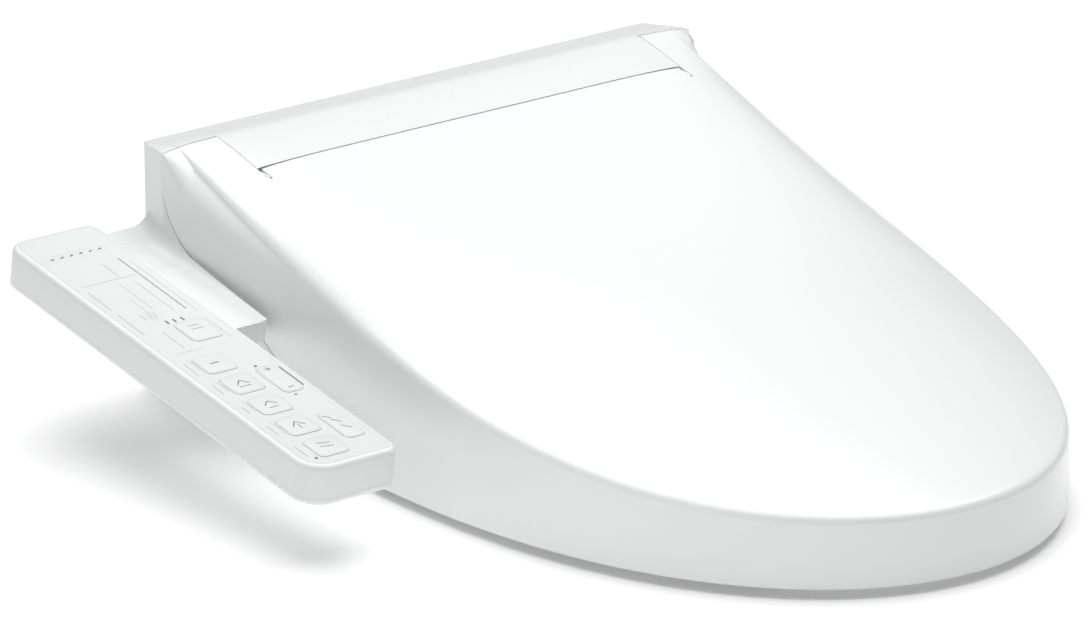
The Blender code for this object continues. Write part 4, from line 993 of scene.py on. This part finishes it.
# %% Print the keys
SYMBOLS = {
    "key_stop": [(22, 168, 28, 168, 0.8)],
    "key_rear_wash": [(21, 196, 25, 191, 0.6), (25, 191, 29, 196, 0.6), (21, 198, 29, 198, 0.5)],
    "key_soft_wash": [(21, 222, 25, 218, 0.6), (25, 218, 29, 222, 0.6), (22, 225, 28, 225, 0.5)],
    "key_front_wash": [(21, 249, 25, 244, 0.6), (25, 244, 29, 249, 0.6), (25, 247, 25, 252, 0.5)],
    "key_dryer": [(21, 270, 29, 272, 0.5), (21, 274, 29, 276, 0.5)],
    "key_energy": [(36, 126, 44, 126, 0.4), (36, 130, 44, 130, 0.4)],
    "key_pressure": [(45.5, 187.5, 49.5, 187.5, 0.6), (47.5, 185.5, 47.5, 189.5, 0.6),
                     (45.5, 210, 49.5, 210, 0.6)],
    "key_position": [(42.5, 246, 46, 250, 0.6), (45, 251, 49, 256, 0.6), (46, 259, 50.5, 264, 0.6)],
}
for key in KEYS:
    name, a, b, width, length = key
    printed(name + "_symbol", INK["dark"], name, KEY_RISE, bars=SYMBOLS[name])
    printed(name + "_frame", INK["pale"], name, KEY_RISE, frames=[(a, b, width - 1.6, length - 1.6, 0.3)])

# %% [markdown]
# ## The seat
# The heated seat is a hollow ring of two shells with a foil heater under the upper skin. Its section
# is high and rounded outside and falls gently to the opening; the section is carried round the
# plan as one closed stack of rings.

# %% Plan and height of the seat
SEAT_REAR, SEAT_NOSE, SEAT_UNDER, SEAT_HALF = -58 * MM, -456.5 * MM, 8 * MM, 170 * MM
OPENING_REAR, OPENING_FRONT, OPENING_HALF = -128 * MM, -392 * MM, 104 * MM
SEAT_MIDDLE, OPENING_MIDDLE = -0.175, -245 * MM


def seat_top(y):
    """Height of the seat's crest, which falls towards the nose."""
    return 47 * MM - 10 * MM * (SEAT_REAR - y) / (SEAT_REAR - SEAT_NOSE)


def oval(angle, half, front, rear, centre, front_power, rear_power):
    """A point of an egg-shaped plan; a power of 2 is an ellipse, a higher one is squarer."""
    c, s = math.cos(angle), math.sin(angle)
    power = front_power if s < 0 else rear_power
    reach = centre - front if s < 0 else rear - centre
    return Vector((half * math.copysign(abs(c) ** (2 / power), c),
                   centre + reach * math.copysign(abs(s) ** (2 / power), s)))


def seat_rings(outer_inset, inner_inset, profile, segments=128):
    """One ring for each station round the plan; a profile point is a share across and a depth."""
    rings = []
    for step in range(segments):
        angle = 2 * math.pi * (step + 0.5) / segments
        outer = oval(angle, SEAT_HALF - outer_inset, SEAT_NOSE + outer_inset, SEAT_REAR - outer_inset,
                     SEAT_MIDDLE, 2.1, 5.0)
        inner = oval(angle, OPENING_HALF + inner_inset, OPENING_FRONT - inner_inset,
                     OPENING_REAR + inner_inset, OPENING_MIDDLE, 2.2, 2.6)
        ring = []
        for share, depth in profile:
            place = outer.lerp(inner, share)
            z = SEAT_UNDER + depth[1] if isinstance(depth, tuple) else seat_top(place.y) - depth
            ring.append((place.x, place.y, z))
        rings.append(ring)
    return rings


print("the seat is", round((SEAT_REAR - SEAT_NOSE) / MM, 1), "mm long")

# %% [markdown]
# ### Sections of the seat
# A depth is measured down from the seat's top, and one marked "under" is a height above its
# underside instead. The upper shell's section goes round the outside and back along the inside, so
# that skinning it gives a closed shell with its wall in one step.

# %% Shells and heater of the seat
def rounded_section():
    """Outside of the section from the outer skirt over the top to the opening."""
    points = [(0, ("under", 0)), (0, 12 * MM)]
    for share, depth in ((0.006, 7.6), (0.022, 4.4), (0.05, 2.3), (0.10, 0.9), (0.17, 0.2),
                         (0.28, 0.0), (0.42, 0.5), (0.56, 1.1), (0.70, 1.9), (0.80, 3.0),
                         (0.88, 4.5), (0.945, 6.8), (0.985, 9.6)):
        points.append((share, depth * MM))
    return points + [(1, 13 * MM), (1, ("under", 0))]


SIDE_SHARE = 0.048      # the wall's share of the section's width
inside = [(1 - SIDE_SHARE, ("under", 0)), (1 - SIDE_SHARE, 15 * MM), (0.84, 7.2 * MM),
          (0.5, 5 * MM), (0.16, 3.8 * MM), (SIDE_SHARE, 9.0 * MM), (SIDE_SHARE, ("under", 0))]
seat_upper = ringed("seat_upper_moulding", seat_rings(0, 0, rounded_section() + inside), closed=True)
plate_section = [(0, ("under", 0.2 * MM)), (0, ("under", 3.2 * MM)),
                 (1, ("under", 3.2 * MM)), (1, ("under", 0.2 * MM))]
seat_lower = ringed("seat_lower_moulding", seat_rings(5.2 * MM, 5.2 * MM, plate_section), closed=True)
foil_section = [(0, 7.9 * MM), (0, 7.4 * MM), (1, 7.4 * MM), (1, 7.9 * MM)]
seat_foil = ringed("seat_heater_sheet", seat_rings(15 * MM, 15 * MM, foil_section), closed=True)
for piece in (seat_upper, seat_lower, seat_foil):
    carve(piece, block("nozzle_space", (-26 * MM, SEAT_REAR - 45 * MM, -10 * MM), (62 * MM, 0.0, 29 * MM)))
STRIP_IN = TONGUE_HALF + GAP
HINGE_STRIPS = both_sides(STRIP_IN, STRIP_IN + 3 * MM)
for low, high in HINGE_STRIPS:
    carve(seat_upper, block("arm_slot", (low - GAP, -92.5 * MM, 17.6 * MM), (high + GAP, -40 * MM, 100 * MM)))
stand_for(seat_upper, LID_WHITE, "seat_upper_shell")
stand_for(seat_lower, CASE_WHITE, "seat_lower_shell")
stand_for(seat_foil, FOIL, "seat_heater_foil")

# %% [markdown]
# ## Nozzle wand
# The wand is a polished tube that slides out on a slope of 38 degrees; its tip is rounded and has
# four spray holes on its upper side. Both are round bars, and the holes are cut square to the slope.

# %% Nozzle wand and tip
WAND_SLOPE, WAND_LENGTH, WAND_RADIUS = math.radians(38), 100 * MM, 7 * MM


def wand_point(along, side=0.0, across=0.0):
    """A point by its distance from the tip, to the side, and square to the slope."""
    c, s = math.cos(WAND_SLOPE), math.sin(WAND_SLOPE)
    return Vector((side, -43 * MM + along * c - across * s, 29 * MM + along * s + across * c))


wand = round_bar("nozzle_wand_tube", wand_point(14 * MM), wand_point(WAND_LENGTH), WAND_RADIUS, 48,
                 0.5 * MM)
stand_for(wand, CASE_WHITE, "nozzle_wand")
tip = round_bar("nozzle_tip_moulding", wand_point(0), wand_point(13.6 * MM), 5 * MM, 48, 1.8 * MM,
                WAND_RADIUS)
upwards = (wand_point(0, 0, 1) - wand_point(0)) * 12 * MM
for along, side in ((5, 0), (7.5, -1.5), (7.5, 1.5), (10, 0)):
    start = wand_point(along * MM, side * MM, -3 * MM)
    carve(tip, round_bar("spray_hole", start, start + upwards, 0.5 * MM, 16))
stand_for(tip, CASE_WHITE, "nozzle_tip")

# %% [markdown]
# ## Hinge arms
# A hinge arm is a flat piece of steel strip, 3 mm thick, which runs from the pin down inside the
# lid's ear to a foot in the seat. A prism with a thin bevel shows the rounded edge of a blanked
# part.

# %% Steel hinge arms
profile = arc((HINGE_Y, HINGE_Z), 2.8 * MM, -20, 200, 20)
profile += in_metres((-31, 125.5), (-71.5, 96), (-71.5, 45), (-92, 33), (-92, 18), (-70, 18),
                     (-53.5, 40), (-53.5, 88), (-26, 112))
for label, (low, high) in zip(("left", "right"), HINGE_STRIPS):
    arm = prism(f"hinge_arm_strip_{label}", profile, low, high, "X", 0.4 * MM, 0.4 * MM, 2)
    carve(arm, round_bar("pin_bore", (low - 10 * MM, HINGE_Y, HINGE_Z),
                         (high + 10 * MM, HINGE_Y, HINGE_Z), PIN_HOLE))
    stand_for(arm, STEEL, f"seat_hinge_arm_{label}")

# %% [markdown]
# ## Bumpers
# Four feet of soft elastomer keep the seat off the bowl. They are turned shapes with a rounded foot,
# so a short bar with a bevel is enough.

# %% Rubber feet
for label, side in (("left", -1), ("right", 1)):
    for spot, x, y in (("front", 106, -380), ("rear", 142, -170)):
        name = f"seat_bumper_{label}_{spot}"
        foot = round_bar(name + "_foot", (side * x * MM, y * MM, 0),
                         (side * x * MM, y * MM, SEAT_UNDER - GAP), 9 * MM, 48, 1.5 * MM)
        stand_for(foot, RUBBER, name)

# %% [markdown]
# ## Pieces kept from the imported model
# Pins, screws, hoses, fan, valve, heater, gear and boards are plain shapes, and most of them are
# hidden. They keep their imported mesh; its triangles are welded and the edges get a small bevel, so
# that they catch the light like real mouldings and castings.

# %% Soften and finish the kept pieces
KEPT_LOOK = {"hinge_pin_left": PIN_STEEL, "hinge_pin_right": PIN_STEEL, "feed_hose": HOSE, "wash_hose": HOSE,
             "occupancy_window": SMOKED, "dryer_flap": CASE_WHITE}
LOOK_OF_SLOT = {"white_moulding": CASE_WHITE, "panel_film": FILM, "grey_moulding": GREY,
                "dark_moulding": DARK, "soft_rubber": RUBBER, "stainless_steel": STEEL, "brass": BRASS,
                "circuit_board": BOARD, "heater_foil": FOIL}
kept = [name for name, obj in frame["nodes"].items() if name not in REPLACED]
for name in kept:
    obj = frame["nodes"][name]
    weld = obj.modifiers.new("weld", "WELD")
    weld.merge_threshold = 0.01 * MM
    soft = obj.modifiers.new("soft_edges", "BEVEL")
    soft.width = 0.3 * MM
    soft.segments = 2
    soft.limit_method = "ANGLE"
    soft.angle_limit = math.radians(40)
    soft.use_clamp_overlap = True
    obj.data.materials.clear()
    obj.data.materials.append(KEPT_LOOK.get(name, LOOK_OF_SLOT[SLOT_OF[name]]))
print("kept from the packed model:", len(kept))

# %% [markdown]
# ## Floor and light
# The floor is a white acrylic light table: it glows faintly, which keeps shadows pale. A plane with
# an evenly glowing material would look cut out, so the glow varies by a few percent over 400 mm.

# %% Floor
FLOOR_GLOW = 0.16
bm = bmesh.new()
bmesh.ops.create_grid(bm, x_segments=1, y_segments=1, size=6.0)
floor = to_object(bm, "studio_floor")
floor.data.transform(Matrix.Translation((0, 0, -0.5 * MM)))
floor_look, tree, shader, place = finish("opal_acrylic_light_table", "#FFFFFF", 0.8)
cast = node(tree, "ShaderNodeTexNoise", Vector=place, Scale=1 / (400 * MM), Detail=2.0)
glow = node(tree, "ShaderNodeMapRange", Value=cast.outputs["Fac"], i3=FLOOR_GLOW - 0.01,
            i4=FLOOR_GLOW + 0.01)
tree.links.new(glow.outputs[0], shader.inputs["Emission Strength"])
shader.inputs["Emission Color"].default_value = (1, 1, 1, 1)
floor.data.materials.append(floor_look)
print("floor glow:", FLOOR_GLOW)

# %% [markdown]
# ## Light
# One large soft lamp hangs overhead, so the top is brightest and the skirt falls to light grey. A
# weak lamp on the left opens the arm's side, and white walls fill in the rest. Standard view keeps
# the white moulding white.

# %% Lamps and world
WALL_LIGHT, OVERHEAD_POWER, FILL_POWER = 0.08, 62, 6
world = bpy.data.worlds.new("studio")
bpy.context.scene.world = world
world.use_nodes = True
world.node_tree.nodes["Background"].inputs["Color"].default_value = (1, 1, 1, 1)
world.node_tree.nodes["Background"].inputs["Strength"].default_value = WALL_LIGHT


def lamp(name, place, aim, size, power):
    """A square soft lamp that looks at a point."""
    light = bpy.data.lights.new(name, "AREA")
    light.shape = "SQUARE"
    light.size = size
    light.energy = power
    holder = bpy.data.objects.new(name, light)
    holder.location = place
    holder.rotation_euler = (Vector(aim) - Vector(place)).to_track_quat("-Z", "Y").to_euler()
    bpy.context.scene.collection.objects.link(holder)


lamp("overhead", (0.12, -0.05, 2.0), (0.0, -0.25, 0.08), 2.6, OVERHEAD_POWER)
lamp("left_fill", (-2.2, -1.0, 0.9), (-0.1, -0.2, 0.08), 1.6, FILL_POWER)
bpy.context.scene.view_settings.view_transform = "Standard"
print("lamps:", OVERHEAD_POWER, "W overhead and", FILL_POWER, "W at the left")

# %% [markdown]
# ## End
# The dressed object has to keep the size of the imported one. The last cell prints a closing line.

# %% Finish
print("the visual model is built")
